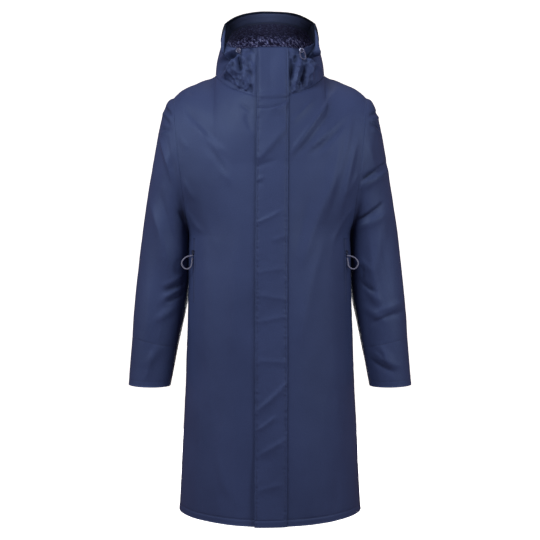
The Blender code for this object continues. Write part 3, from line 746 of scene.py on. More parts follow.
def add_camera():
    data = bpy.data.cameras.new("camera")
    data.lens = LENS
    data.sensor_width = SENSOR
    data.shift_x, data.shift_y = SHIFT
    camera = add_object("camera", data)
    camera.location = EYE
    camera.rotation_euler = (math.pi / 2, 0.0, 0.0)
    bpy.context.scene.camera = camera


# Lamps: place, target, width and height, power, and the spread in degrees.  The last two are small
# ones behind the collar, for the facing and the fleece.
LAMPS = {
    "key": ((-1.3, -1.9, 1.30), (0.0, 0.0, -0.15), (0.9, 0.9), 46.0, 180),
    "front": ((0.2, -3.1, 0.05), (0.0, 0.0, -0.1), (0.9, 0.9), 5.0, 180),
    "fill": ((2.3, -2.2, 0.5), (0.0, 0.0, -0.4), (1.2, 1.6), 46.0, 180),
    "left side": ((-2.4, -1.0, 0.4), (0.0, 0.0, -0.4), (1.2, 1.6), 22.0, 180),
    "right side": ((2.4, -1.0, 0.3), (0.0, 0.0, -0.4), (1.2, 1.6), 9.0, 180),
    "back": ((0.0, 2.9, -0.45), (0.0, 0.0, -0.35), (1.6, 1.6), 55.0, 180),
    "top": ((0.1, 0.5, 2.0), (0.0, 0.0, -0.1), (1.4, 1.0), 8.0, 180),
    "facing": ((0.0, -0.088, 0.046), (0.0, -0.060, 0.140), (0.050, 0.012), 0.046, 100),
    "fleece": ((0.0, -0.090, 0.046), (0.0, 0.090, 0.098), (0.100, 0.012), 0.020, 60),
}


def add_lamps():
    for name, (place, target, size, power, spread) in LAMPS.items():
        data = bpy.data.lights.new(name, "AREA")
        data.shape = "RECTANGLE"
        data.size, data.size_y = size
        data.energy = power
        data.spread = math.radians(spread)
        lamp = add_object(name, data)
        lamp.location = place
        lamp.rotation_euler = (Vector(target) - Vector(place)).to_track_quat("-Z", "Y").to_euler()
        lamp.visible_camera = False


FLOOR_HALF = 6.0
FLOOR_FRONT = -4.0
FLOOR_BEND = 3.2             # from here back, the floor curves up
BEND_RADIUS = 1.6
WHITE = (1.0, 1.0, 1.0, 1.0)
WARM = (1.0, 0.45, 0.30, 1.0)


def add_studio():
    """A pale floor that curves up into a backdrop, far behind the robe, and the world's light."""
    profile = [(FLOOR_FRONT, FLOOR_Z), (0.0, FLOOR_Z), (FLOOR_BEND, FLOOR_Z)]
    for angle in steps(0.0, math.pi / 2, 12)[1:]:
        profile.append((FLOOR_BEND + BEND_RADIUS * math.sin(angle),
                        FLOOR_Z + BEND_RADIUS * (1 - math.cos(angle))))
    profile.append((FLOOR_BEND + BEND_RADIUS, FLOOR_Z + 6.0))
    points = [(x, y, z) for y, z in profile for x in (-FLOOR_HALF, FLOOR_HALF)]
    faces = [(2 * i, 2 * i + 1, 2 * i + 3, 2 * i + 2) for i in range(len(profile) - 1)]
    mesh = bpy.data.meshes.new("floor")
    mesh.from_pydata(points, [], faces)
    mesh.shade_smooth()
    floor = add_object("floor", mesh)
    paint = Nodes("floor")
    paint.shade({"Base Color": (0.86, 0.86, 0.87, 1.0), "Roughness": 0.9, "Specular IOR Level": 0.1,
                 "Emission Color": WHITE, "Emission Strength": 1.0})
    mesh.materials.append(paint.owner)
    floor.visible_diffuse = False    # seen, but it lights nothing: the light is the lamps' alone
    floor.visible_glossy = False

    world = bpy.data.worlds.new("studio")
    bpy.context.scene.world = world
    nodes = Nodes(world, "Background")
    nodes.shade({"Color": WARM, "Strength": 0.11})
    seen = nodes.add("Background", {"Color": WHITE})     # what shows behind the robe is plain
    rays = nodes.add("LightPath").outputs["Is Camera Ray"]
    pick = nodes.add("MixShader", {0: rays, 1: nodes.shader.outputs[0], 2: seen.outputs[0]})
    nodes.put(pick.outputs[0], nodes.tree.nodes["World Output"].inputs["Surface"])
    bpy.context.scene.view_settings.view_transform = "Standard"
    bpy.context.scene.view_settings.look = "None"


# ---- materials
class Nodes:
    """The node tree of a material or the world, with short ways to add and join nodes."""

    def __init__(self, owner, shader="Principled BSDF"):
        """For the world, or for a new material where only its name is given."""
        self.owner = bpy.data.materials.new(owner) if isinstance(owner, str) else owner
        self.owner.use_nodes = True
        self.tree = self.owner.node_tree
        self.shader = self.tree.nodes[shader]

    def put(self, value, socket):
        """Join an output to a socket, or set the socket's own value."""
        if isinstance(value, bpy.types.NodeSocket):
            self.tree.links.new(value, socket)
        else:
            socket.default_value = value

    def add(self, kind, inputs={}, **values):
        node = self.tree.nodes.new("ShaderNode" + kind)
        for key, value in values.items():
            setattr(node, key, value)
        for key, value in inputs.items():
            self.put(value, node.inputs[key])
        return node

    def shade(self, inputs):
        for key, value in inputs.items():
            self.put(value, self.shader.inputs[key])

    def split(self, vector):
        """Sockets X, Y and Z of a vector."""
        return self.add("SeparateXYZ", {"Vector": vector}).outputs

    def span(self, value, ends, into=(0.0, 1.0)):
        """The value as a share, from 0 at the first end to 1 at the second, or between two others."""
        return self.add("MapRange", {"Value": value, "From Min": ends[0], "From Max": ends[1],
                                     "To Min": into[0], "To Max": into[1]}).outputs["Result"]

    def noise(self, space, scale, detail=2.0):
        return self.add("TexNoise", {"Vector": space, "Scale": scale, "Detail": detail}).outputs["Fac"]

    def wave(self, space, period, direction):
        return self.add("TexWave", {"Vector": space, "Scale": math.pi / (10.0 * period)},
                        bands_direction=direction).outputs["Fac"]

    def maths(self, operation, a, *others):
        """One operation on two values, or on one after the other."""
        for b in others:
            a = self.add("Math", {0: a, 1: b}, operation=operation).outputs["Value"]
        return a

    def rest(self, value):
        return self.maths("SUBTRACT", 1.0, value)

    def blend(self, a, b, share):
        """The sum of two values, the first taken by its share and the second by what is left."""
        a, b = self.maths("MULTIPLY", a, share), self.maths("MULTIPLY", b, 1.0 - share)
        return self.maths("ADD", a, b)

    def ramp(self, value, stops):
        node = self.add("ValToRGB", {"Fac": value})
        elements = node.color_ramp.elements
        while len(elements) < len(stops):
            elements.new(0.5)
        for element, (place, colour) in zip(elements, stops):
            element.position = place
            element.color = (*colour, 1.0)
        return node.outputs["Color"]

    def bump(self, height, distance, strength):
        node = self.add("Bump", {"Height": height, "Distance": distance, "Strength": strength})
        self.shade({"Normal": node.outputs["Normal"]})


WEAVE_PERIOD = 0.0009        # two threads
NAVY = (0.0330, 0.0490, 0.1275)
PAINTED_CREASE_SHADE_REACH = 0.016         # painted shade: the cloth's colour darkens in creases that are about this deep
PAINTED_CREASE_SHADE_POWER = 1.8
PAINTED_CREASE_SHADE_TINT = (0.34, 0.34, 0.34)


def tint(colour, share):
    return tuple(channel * share for channel in colour)


FACING_NAVY = (0.0285, 0.0370, 0.0820)
FACING_SIDES = (0.070, 0.098)     # from here outwards, the hood's facing is painted dark, as painted shade at its sides
RIM_WIDTH = (0.014, 0.022)        # painted shade: near its edge the hood's cloth is painted as dark as its inside for this far
HOOD_PAINTED_LIGHT = 1.10                 # painted light: the hood's cloth is painted this much lighter than the same cloth elsewhere
RIM_Z = (0.062, 0.074)            # above here only
RIM_Y = (-0.068, -0.056)          # in front of here only
FACING_DARK = 0.30                # how dark the facing's painted shade and the rim's painted shade are, as shares
RIM_PAINTED_SHADE = 0.15                   # of their own colour


def facing_sides(nodes, place):
    """How far the hood's facing is in the shade of its sides, from 0 to 1."""
    x = nodes.split(place["Object"])["X"]
    return nodes.span(nodes.maths("ABSOLUTE", x, 0.0), FACING_SIDES)


def hood_rim_painted_shade(nodes, place):
    """How far the hood's cloth near its edge is painted with shade, from 0 to 1."""
    spot = nodes.split(place["Object"])
    near = nodes.rest(nodes.span(nodes.split(place["UV"])["Y"], RIM_WIDTH))
    ahead = nodes.rest(nodes.span(spot["Y"], RIM_Y))
    return nodes.maths("MULTIPLY", near, ahead, nodes.span(spot["Z"], RIM_Z))


def cloth_material(name, colour=NAVY, roughness=0.50, painted_shade=None, dark=1.0):
    """Plain-woven shell cloth: threads, a fine two-tone grain and broad uneven colour, with painted shade
    in its creases and, where a mask is given, painted shade by place.
    """
    nodes = Nodes(name)
    place = nodes.add("TexCoord").outputs
    threads = nodes.maths("MAXIMUM", *(nodes.wave(place["UV"], WEAVE_PERIOD, way) for way in "XY"))
    grain = nodes.noise(place["UV"], 520.0, 1.0)
    broad = nodes.noise(place["Object"], 7.0, 3.0)
    shade = nodes.blend(grain, broad, 0.55)
    stops = [(0.30, tint(colour, 0.82)), (0.50, colour), (0.72, tint(colour, 1.22))]
    # Painted shade by place: where the mask is 1, the colour falls to dark times itself.
    if painted_shade:
        shade = nodes.maths("MULTIPLY", shade, nodes.rest(painted_shade(nodes, place)))
        stops.insert(0, (0.0, tint(colour, dark)))
    # Painted shade: ambient occlusion darkens the base colour in creases and hollows, down to the tint
    # above.
    crease_occlusion = nodes.add("AmbientOcclusion", {"Distance": PAINTED_CREASE_SHADE_REACH}, samples=8, only_local=True)
    depth = nodes.ramp(nodes.maths("POWER", crease_occlusion.outputs["AO"], PAINTED_CREASE_SHADE_POWER),
                       [(0.0, PAINTED_CREASE_SHADE_TINT), (1.0, WHITE[:3])])
    mixer = nodes.add("Mix", {"Factor": 1.0, 6: nodes.ramp(shade, stops), 7: depth},
                      data_type="RGBA", blend_type="MULTIPLY")
    nodes.shade({"Base Color": mixer.outputs[2], "Specular IOR Level": 0.20,
                 "Specular Tint": (0.55, 0.75, 1.0, 1.0),
                 "Roughness": nodes.span(broad, (0.0, 1.0), (roughness - 0.05, roughness + 0.07))})
    nodes.bump(nodes.blend(threads, grain, 0.6), 0.00012, 0.5)
    return nodes.owner


FLEECE_DARK = (0.018, 0.018, 0.044)
FLEECE_MIDDLE = (0.052, 0.058, 0.142)
FLEECE_TIP = (0.220, 0.240, 0.500)
ROLL_Z = 0.1175              # top of the thick fleece behind the neck, which falls towards the sides; the pile above it has painted shade
ROLL_FALL = 19.0
FLEECE_PAINTED_SHADE = 0.68          # painted shade: the pile above the roll is painted this much duller


def fleece_material():
    """Curly pile: near-black navy with lighter curl tips, painted duller above the roll behind the neck
    as painted shade.
    """
    nodes = Nodes("fleece_pile")
    place = nodes.add("TexCoord").outputs
    curls = nodes.add("TexVoronoi", {"Scale": 210.0, "Vector": place["UV"]}, feature="F1")
    fuzz, clumps = nodes.noise(place["UV"], 560.0, 3.0), nodes.noise(place["UV"], 110.0)
    curl_tips = nodes.maths("SUBTRACT", nodes.maths("ADD", fuzz, clumps), curls.outputs["Distance"])
    # Painted shade: above the roll's arc the curls are painted duller.
    spot = nodes.split(place["Object"])
    fall = nodes.maths("POWER", nodes.maths("ABSOLUTE", spot["X"], 0.0), 3.0)
    below = nodes.maths("SUBTRACT", ROLL_Z, nodes.maths("MULTIPLY", fall, ROLL_FALL), spot["Z"])
    curl_tips_painted_shade = nodes.maths("MULTIPLY", curl_tips, nodes.span(below, (-0.003, 0.002), (FLEECE_PAINTED_SHADE, 1.0)))
    nodes.shade({"Base Color": nodes.ramp(curl_tips_painted_shade, [(0.22, FLEECE_DARK), (0.56, FLEECE_MIDDLE),
                                                 (0.84, FLEECE_TIP)]),
                 "Roughness": 0.95, "Specular IOR Level": 0.10, "Sheen Weight": 0.15,
                 "Sheen Roughness": 0.5, "Sheen Tint": (0.45, 0.5, 0.9, 1.0)})
    nodes.bump(curl_tips_painted_shade, 0.0012, 0.9)
    return nodes.owner


def thread_material(name, colour, scale, roughness):
    """Twisted or braided yarn, for stitches, tapes and cords."""
    nodes = Nodes(name)
    strands = nodes.noise(nodes.add("TexCoord").outputs["Object"], scale)
    stops = [(0.25, tint(colour, 0.62)), (0.55, colour), (0.80, tint(colour, 1.35))]
    nodes.shade({"Base Color": nodes.ramp(strands, stops), "Roughness": roughness,
                 "Specular IOR Level": 0.3})
    nodes.bump(strands, 0.0003, 0.8)
    return nodes.owner


def metal_material(name, colour, roughness):
    """Worn plated metal: small scratches and a dulled tone."""
    nodes = Nodes(name)
    wear = nodes.noise(nodes.add("TexCoord").outputs["Object"], 900.0, 4.0)
    nodes.shade({"Base Color": nodes.ramp(wear, [(0.35, tint(colour, 0.7)), (0.65, colour)]),
                 "Roughness": nodes.span(wear, (0.0, 1.0), (roughness - 0.08, roughness + 0.15)),
                 "Metallic": 1.0})
    nodes.bump(wear, 0.0001, 0.4)
    return nodes.owner


# ---- grids to cloth
def fine(first, last, count, marks=(), beside=(0.0,)):
    """Equal steps with a line at each mark and at the small distances beside it."""
    low, high = min(first, last), max(first, last)
    exact = {round(mark + offset, 6) for mark in marks for offset in beside}
    places = {round(p, 6) for p in steps(first, last, count)} | {p for p in exact if low < p < high}
    places = sorted(places)
    kept = places[:1]
    for place in places[1:]:
        close = place - kept[-1] < (high - low) / count * 0.12
        if close and place in exact and kept[-1] not in exact and len(kept) > 1:
            kept[-1] = place
        elif place in exact or not close:
            kept.append(place)
    if kept[-1] < high - 1e-6:
        kept[-1] = high
    return kept if first < last else kept[::-1]


def nearest(values, value):
    return int(np.argmin(np.abs(np.array(values) - value)))


def ramp(value, start, end):
    """0 as far as the start, 1 from the end on and even between them."""
    return np.clip((value - start) / (end - start), 0.0, 1.0)


def bell(distance, width):
    return np.exp(-(distance / width) ** 2)


def as_array(grid):
    return np.array([[tuple(point) for point in row] for row in grid])


def outward(grid, inside, ring=False):
    """Unit normals of a grid, from the differences of its neighbours, away from inside points."""
    down = np.gradient(grid, axis=0)
    if ring:
        across = (np.roll(grid, -1, axis=1) - np.roll(grid, 1, axis=1)) / 2
    else:
        across = np.gradient(grid, axis=1)
    normal = np.cross(across, down)
    normal /= np.maximum(np.linalg.norm(normal, axis=2, keepdims=True), 1e-9)
    return -normal if ((grid - inside) * normal).sum() < 0 else normal


def behind(outer, inside, wall=SHELL_WALL, ring=False):
    """The inner side of a cloth wall."""
    return outer - outward(outer, inside, ring) * wall


def core(grid, top, y=0.0):
    """For each point of a grid, a point on an upright line inside it, no higher than the top."""
    inside = np.zeros_like(grid)
    inside[..., 1] = y
    inside[..., 2] = np.minimum(grid[..., 2], top)
    return inside


def lengths(grid, axis):
    """Length along the grid's lines from its first point, for each point."""
    steps_along = np.linalg.norm(np.diff(grid, axis=axis), axis=2)
    zero = np.zeros_like(np.take(steps_along, [0], axis=axis))
    return np.concatenate([zero, np.cumsum(steps_along, axis=axis)], axis=axis)


def edge_distances(grid):
    """Lengths along a grid from its first row, last row, first column and last column."""
    down, across = lengths(grid, 0), lengths(grid, 1)
    return down, down[-1:] - down, across, across[:, -1:] - across


def draw_in(grid, first_row=0.0, last_row=0.0, first_column=0.0, last_column=0.0):
    """Draw the edges of a grid back towards its inside."""
    painted_shade = grid.swapaxes(0, 1)
    for rows, edge, inner, distance in ((grid, 0, 1, first_row), (grid, -1, -2, last_row),
                                        (painted_shade, 0, 1, first_column), (painted_shade, -1, -2, last_column)):
        step = rows[inner] - rows[edge]
        rows[edge] += step / np.maximum(np.linalg.norm(step, axis=1, keepdims=True), 1e-9) * distance


def add_piece(name, mesh, material, slot, *nodes):
    """A finished piece: it rides on the robe, stands for its CAD nodes and takes its material; its slot
    is not used.
    """
    piece = add_object(name, mesh)
    mesh.materials.append(material)
    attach(piece, "root")
    if nodes:
        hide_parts(*nodes)
    return piece


def cloth(name, outer, inner, material, slot, node, ring=False):
    """A closed cloth wall between two grids of the same size, with lengths in metres as its UVs."""
    rows, columns = outer.shape[:2]
    count = rows * columns
    points = np.concatenate([outer.reshape(-1, 3), inner.reshape(-1, 3)])
    across, down = lengths(outer, 1), lengths(outer, 0)
    around = np.linalg.norm(outer[:, 0] - outer[:, -1], axis=1) + across[:, -1]
    flat = np.stack([np.column_stack([across, around]), np.column_stack([down, down[:, 0]])], axis=2)
    flat = flat.tolist()
    last = columns if ring else columns - 1
    faces = []
    uvs = []
    for i in range(rows - 1):
        for j in range(last):
            quad = ((i, j), (i, j + 1), (i + 1, j + 1), (i + 1, j))
            corners = [a * columns + b % columns for a, b in quad]
            faces += [corners, [count + corner for corner in corners[::-1]]]
            uvs += [flat[a][b] for a, b in quad + quad[::-1]]
    rim = [(i * columns + j, i * columns + (j + 1) % columns)[::1 if i else -1]
           for i in (0, rows - 1) for j in range(last)]
    if not ring:
        rim += [(i * columns + j, (i + 1) * columns + j)[::-1 if j else 1]
                for j in (0, columns - 1) for i in range(rows - 1)]
    for a, b in rim:
        faces.append((b, a, count + a, count + b))
        uvs += [flat[corner // columns][corner % columns] for corner in (b, a, a, b)]
    mesh = bpy.data.meshes.new(name)
    mesh.from_pydata(points.tolist(), [], faces)
    layer = mesh.uv_layers.new(name="lengths")
    layer.data.foreach_set("uv", np.array(uvs, dtype=np.float32).ravel())
    if Vector(outer[0, 0] - inner[0, 0]).dot(mesh.polygons[0].normal) < 0:
        mesh.flip_normals()
    mesh.shade_smooth()
    return add_piece(name, mesh, material, slot, node)


STITCH_LENGTH = 0.0027
STITCH_PITCH = 0.0036
STITCH_RADIUS = 0.00035


def unit(vector):
    return vector / np.linalg.norm(vector)


def line_at(length, line, at):
    """The point of a line of points at a distance along it."""
    return np.array([np.interp(at, length, line[:, k]) for k in range(3)])


def small_things(name, points, faces, material, slot):
    """One piece of many small solids: stitches in the shell, teeth in a zip."""
    mesh = bpy.data.meshes.new(name)
    mesh.from_pydata([tuple(p) for p in points], [], faces)
    if slot == "shell":
        mesh.validate()
        mesh.shade_smooth()
    return add_piece(name, mesh, material, slot)


def stitches(name, line, up, material):
    """A row of stitches along a line of points, each a small lozenge half sunk in the cloth."""
    length = lengths(line[:, None], 0)[:, 0]
    points = []
    faces = []
    at = STITCH_PITCH
    while at + STITCH_LENGTH < length[-1]:
        start, end = line_at(length, line, at), line_at(length, line, at + STITCH_LENGTH)
        lift = line_at(length, up, at)
        side = unit(np.cross(unit(end - start), lift))
        first = len(points)
        for share, size in ((0.0, 0.35), (0.25, 1.0), (0.75, 1.0), (1.0, 0.35)):
            middle = start + (end - start) * share
            for a, b in ((1, 0), (0, 1), (-1, 0), (0, -1)):
                points.append(middle + (side * a + lift * b) * STITCH_RADIUS * size)
        for k in range(first, first + 12):
            m = k + 1 if (k - first) % 4 < 3 else k - 3
            faces.append((k, m, m + 4, k + 4))
        faces.append(tuple(first + k for k in (3, 2, 1, 0)))
        faces.append(tuple(first + 12 + k for k in range(4)))
        at += STITCH_PITCH
    return small_things(name, points, faces, material, "shell")


def teeth(name, line, up, pitch, size, material):
    """Two rows of interlocked zip teeth along a line of points."""
    length = lengths(line[:, None], 0)[:, 0]
    points = []
    faces = []
    at = pitch
    turn = 1
    while at < length[-1] - pitch:
        middle = line_at(length, line, at)
        run = unit(line_at(length, line, at + pitch / 2) - middle)
        lift = line_at(length, up, at)
        side = unit(np.cross(run, lift))
        middle = middle + side * size[0] * 0.30 * turn
        first = len(points)
        for a in (-0.5, 0.5):
            for b, c in ((-0.5, 0.0), (0.5, 0.0), (0.32, 1.0), (-0.32, 1.0)):
                points.append(middle + side * size[0] * a + run * size[1] * b + lift * size[2] * c)
        for quad in ((0, 1, 2, 3), (7, 6, 5, 4), (0, 4, 5, 1), (1, 5, 6, 2), (2, 6, 7, 3), (3, 7, 4, 0)):
            faces.append(tuple(first + k for k in quad))
        turn = -turn
        at += pitch / 2
    return small_things(name, points, faces, material, "zip")


SEAM_DIP = 0.0006
SEAM_DIP_WIDTH = 0.0022
SLEEVE_INSET = 0.0002        # a sleeve's head stops this far short, so that its seam shows as a line
SEAM_LAP = 0.0005            # sewn edges reach this far past the solids', so that no light shows
NECK_LAP = 0.0014            # and the hood's foot this far
HEM_STITCH = 0.016           # the hem's stitch line lies this far above its edge
TOP_STITCH = 0.0050          # a flap's or seam's stitch line from its edge
GROOVE = 0.0007
GROOVE_WIDTH = 0.0018
PUCKER = 0.00055


def groove(distance, place, width=GROOVE_WIDTH, depth=GROOVE):
    """A stitched-down line: a shallow groove at a distance from an edge."""
    return -depth * bell(distance - place, width)


def seam(distance, points, seed):
    """The cloth beside a sewn seam: it dips to the seam and puckers along it."""
    return (-SEAM_DIP * bell(distance, SEAM_DIP_WIDTH)
            + wander(points, 0.011, seed) * PUCKER * bell(distance, 0.014))


# Soft unevenness of worn, lined cloth: height, size and shift of each layer of noise.
UNEVENNESS = ((0.0013, (0.075, 0.075, 0.150), 0.0), (0.0006, (0.030, 0.030, 0.055), 7.0),
              (0.00022, (0.011, 0.011, 0.017), 13.0))


def unevenness(points, seed):
    return sum(height * wander(points, size, seed + shift) for height, size, shift in UNEVENNESS)


# ---- body and sleeves
STITCH_BESIDE = (-0.004, -0.0018, 0.0, 0.0018, 0.004)     # grid lines beside a line of stitches
PANEL_ROWS = (44, 38, 148)   # in the yoke, beside the armhole and below it
PANEL_COLUMNS = 56
BODY_CORE_TOP = -0.12        # the highest inside point of the body
HOOD_CORE = (0.04, 0.01)     # and of the hood, with how far back it lies
FLAP_COVER = 0.036           # creases fade under the flap, nearer the middle than this


def panel_rows():
    """Rows of a front or back, with lines at the hem's stitching."""
    skirt = UNDERARM_Z - HEM_Z
    hem = 3.0 - HEM_STITCH / skirt
    yoke = fine(0.0, 1.0, PANEL_ROWS[0])
    armhole = fine(1.0, 2.0, PANEL_ROWS[1])
    low = fine(2.0, 3.0, PANEL_ROWS[2], (hem,), [beside / skirt for beside in STITCH_BESIDE])
    return yoke + armhole[1:] + low[1:], hem


def panel_lift(face, grid, u, row):
    """The solids' soft folds with the cloth's finer creases, and how free the cloth is to crease."""
    x, z = grid[..., 0], grid[..., 2]
    folds, rows = (FRONT_FOLDS, FRONT_CREASES) if face < 0 else (BACK_FOLDS, BACK_CREASES)
    fade = np.minimum((1.0 - u) / FOLD_FREE_EDGE, 1.0) * np.minimum(row / FOLD_FREE_TOP, 1.0)
    free = ramp(u, 1.0, 0.95) * ramp(row, 0.0, 0.12)
    if face < 0:
        free *= ramp(np.abs(x), FLAP_COVER, FLAP_COVER + 0.010)
    return crease_lift(folds, x, z) * fade + crease_lift(rows, x, z) * free, free


def make_panel(node, face, sides, material, thread):
    """A front, or the whole back, with its seams, hem and creases."""
    rows, hem = panel_rows()
    u = np.array(fine(0.0, 1.0, PANEL_COLUMNS))
    grid = as_array([[panel_point(face, share, row) for share in u] for row in rows])
    whole = len(sides) == 2
    if whole:
        grid = np.concatenate([grid[:, ::-1] * (-1, 1, 1), grid[:, 1:]], axis=1)
        u = np.concatenate([u[::-1], u[1:]])
    else:
        grid[..., 0] *= sides[0]
    u, row = np.meshgrid(u, rows)
    inside = core(grid, BODY_CORE_TOP)
    normal = outward(grid, inside)
    lift, free = panel_lift(face, grid, u, row)
    down, up, across, to_side = edge_distances(grid)
    if whole:
        to_side = np.minimum(to_side, across)
    lift += unevenness(grid, 3.0 * face) * free
    lift += seam(to_side, grid, 21.0) + seam(down, grid, 23.0)
    lift += groove(up, HEM_STITCH) + 0.0005 * ramp(up, HEM_STITCH, HEM_STITCH - 0.004)
    lift += 0.0005 * wander(grid, 0.02, 31.0) * ramp(up, 0.03, 0.0)
    outer = grid + normal * lift[..., None]
    draw_in(outer, first_column=-SEAM_LAP if whole else 0.0, last_column=-SEAM_LAP)
    cloth(node + "_cloth", outer, behind(outer, inside), material, "shell", node)
    hem_row = nearest(rows, hem)
    stitches(node + "_hem_stitches", outer[hem_row], normal[hem_row], thread)


BAND_RING = 9.80             # the stitched band across the forearm
CUFF_STITCH = 0.016
SLEEVE_GROOVE = 0.0003
RINGS_PER_METRE = 10.0
SLEEVE_ROWS = 200
SLEEVE_COLUMNS = 132
UNDERARM_HUG = 0.0036        # just below the armhole the sleeve lies this much closer to the body


def make_sleeve(side_name, side, rows_of_creases, material, thread):
    """A sleeve with its two stitched bands, made for the +X side and mirrored for the other."""
    last = SLEEVE[-1]["ring"]
    marks = (BAND_RING, last - CUFF_STITCH * RINGS_PER_METRE)
    rings = fine(0.0, last, SLEEVE_ROWS, marks, [beside * RINGS_PER_METRE for beside in STITCH_BESIDE])
    turns = [2 * math.pi * i / SLEEVE_COLUMNS for i in range(SLEEVE_COLUMNS)]
    grid = as_array([[sleeve_point(ring, turn) for turn in turns] for ring in rings])
    turn, ring = np.meshgrid(turns, rings)
    under = turn - math.pi
    grid[..., 0] -= UNDERARM_HUG * bell(ring - 2.8, 2.2) * bell(under, 0.35) * np.minimum(ring, 1.0)
    x, z = grid[..., 0], grid[..., 2]
    inside = core(grid, -0.16)
    inside[..., 0] = mix(0.215, 0.294, ramp(z, -0.12, -0.75))
    normal = outward(grid, inside, True)
    front, back = (np.clip(way * np.sin(turn) * 2.2 + 0.35, 0.0, 1.0) for way in (1, -1))
    lift = crease_lift(rows_of_creases, x, z) * front + crease_lift(SLEEVE_BACK_CREASES, x, z) * back
    free = ramp(ring, 0.0, 0.5) * np.clip((last - ring) / 0.35, 0.2, 1.0)
    lift = (lift + unevenness(grid, 41.0 + side)) * free
    lift *= 1.0 - bell(under, 0.5) * ramp(ring, 9.0, 8.0)
    down, up, _, _ = edge_distances(grid)
    lift += seam(down, grid, 43.0)
    bands = [nearest(rings, mark) for mark in marks]
    for distance, band in zip((down, up), bands):
        lift += groove(distance - distance[band], 0.0, depth=SLEEVE_GROOVE)
    outer = grid + normal * lift[..., None]
    draw_in(outer, first_row=SLEEVE_INSET)
    for array in (outer, normal, inside):
        array[..., 0] *= side
    cloth("sleeve_%s_cloth" % side_name, outer, behind(outer, inside, ring=True), material, "shell",
          "sleeve_" + side_name, ring=True)
    around = [*range(SLEEVE_COLUMNS), 0]
    for which, band in zip(("band", "cuff"), bands):
        stitches("sleeve_%s_%s_stitches" % (side_name, which), outer[band, around],
                 normal[band, around], thread)


# ---- hood


CRINKLE = 0.0028             # how deep the hood's gathered front crinkles
OPENING_COLUMNS = 64         # of a hood side, round the face opening
CROWN_COLUMNS = 84           # and along the crown
HOOD_ROWS = 58
CENTRE_COLUMNS = 60
BRIM_GROOVE = 0.0022         # half width of the stitched line along the hood's edge


def make_hood_side(side_name, side, material):
    """A hood side panel with its gathered front, made for the +X side and mirrored for the other."""
    columns = fine(0.0, CORNER_U, OPENING_COLUMNS) + fine(CORNER_U, 1.0, CROWN_COLUMNS)[1:]
    levels = fine(1.0, 0.0, HOOD_ROWS)
    grid = as_array([[hood_side_base(u, v) for u in columns] for v in levels])
    u, v = np.meshgrid(columns, levels)
    x, z = grid[..., 0], grid[..., 2]
    inside = core(grid, *HOOD_CORE)
    normal = outward(grid, inside)
    gathers = HOOD_LEFT_CREASES if side > 0 else HOOD_RIGHT_CREASES
    edge = ramp(v, 0.0, 0.07) * ramp(v, 1.0, 0.94)
    free = ramp(v, 0.0, 0.08) * ramp(v, 1.0, 0.95)
    cover = ramp(x, FLAP_COVER, FLAP_COVER + 0.010)
    down, up, _, _ = edge_distances(grid)
    crown = ramp(u, CORNER_U, CORNER_U + 0.05)
    lift = crease_lift(HOOD_FOLDS, x, z) * np.minimum(6.0 * v * (1.0 - v) * ramp(u, 0.60, 0.40), 1.0)
    lift += crease_lift(gathers, x, z) * ramp(u, 0.62, 0.50) * edge * ramp(x, 0.030, 0.042)
    lift += crease_lift(HOOD_BACK_CREASES, x * side, z) * ramp(u, 0.70, 0.80) * edge
    lift += unevenness(grid, 51.0 + side) * 0.8 * free * cover
    lift += (CRINKLE * crinkle(grid, 0.024, 57.0 + side)
             + 0.5 * CRINKLE * crinkle(grid, 0.011, 59.0 + side)) * ramp(u, 0.36, 0.26) * free * cover
    lift += seam(up, grid, 53.0) * np.clip((u - 0.02) / 0.05, 0.3, 1.0) + seam(down, grid, 55.0) * crown
    lift += groove(down, 0.011, BRIM_GROOVE, 0.0010) * (1.0 - crown) * cover
    outer = grid + normal * lift[..., None]
    draw_in(outer, last_row=-NECK_LAP, last_column=-SEAM_LAP)
    inner = behind(outer, inside)
    for array in (outer, inner):
        array[..., 0] *= side
    cloth("hood_side_%s_cloth" % side_name, outer, inner, material, "shell", "hood_side_" + side_name)


def make_hood_centre(material):
    """The hood's centre panel, from the brim over the crown to the back neck."""
    places = fine(0.0, 1.0, CROWN_COLUMNS)
    shares = np.array(steps(-1.0, 1.0, CENTRE_COLUMNS))
    grid = as_array([[crown_point(s, a) for a in shares] for s in places])
    corner = [hood_side_base(1.0, v) for v in steps(0.0, 1.0, 80)]
    for line, s in zip(grid, places):
        if s > SIDE_END:                    # its foot reaches out to the hood's sides
            near = min(corner, key=lambda p: abs(p.z - line[-1, 2]))
            reach = max(near.x - LAYER_GAP - line[-1, 0], 0.0)
            line[:, 0] += np.sign(shares) * np.abs(shares) ** 6 * reach
    inside = core(grid, *HOOD_CORE)
    normal = outward(grid, inside)
    down, up, across, back = edge_distances(grid)
    to_side = np.minimum(across, back)
    lift = seam(to_side, grid, 61.0) + seam(up, grid, 63.0) + groove(down, 0.012, BRIM_GROOVE, 0.0008)
    lift += crease_lift(HOOD_BACK_CREASES, grid[..., 0], grid[..., 2]) * ramp(grid[..., 1], 0.03, 0.06)
    lift += unevenness(grid, 65.0) * ramp(to_side, 0.0, 0.01) * ramp(up, 0.0, 0.01)
    outer = grid + normal * lift[..., None]
    draw_in(outer, last_row=-NECK_LAP, first_column=-SEAM_LAP, last_column=-SEAM_LAP)
    cloth("hood_centre_cloth", outer, behind(outer, inside), material, "shell", "hood_centre")


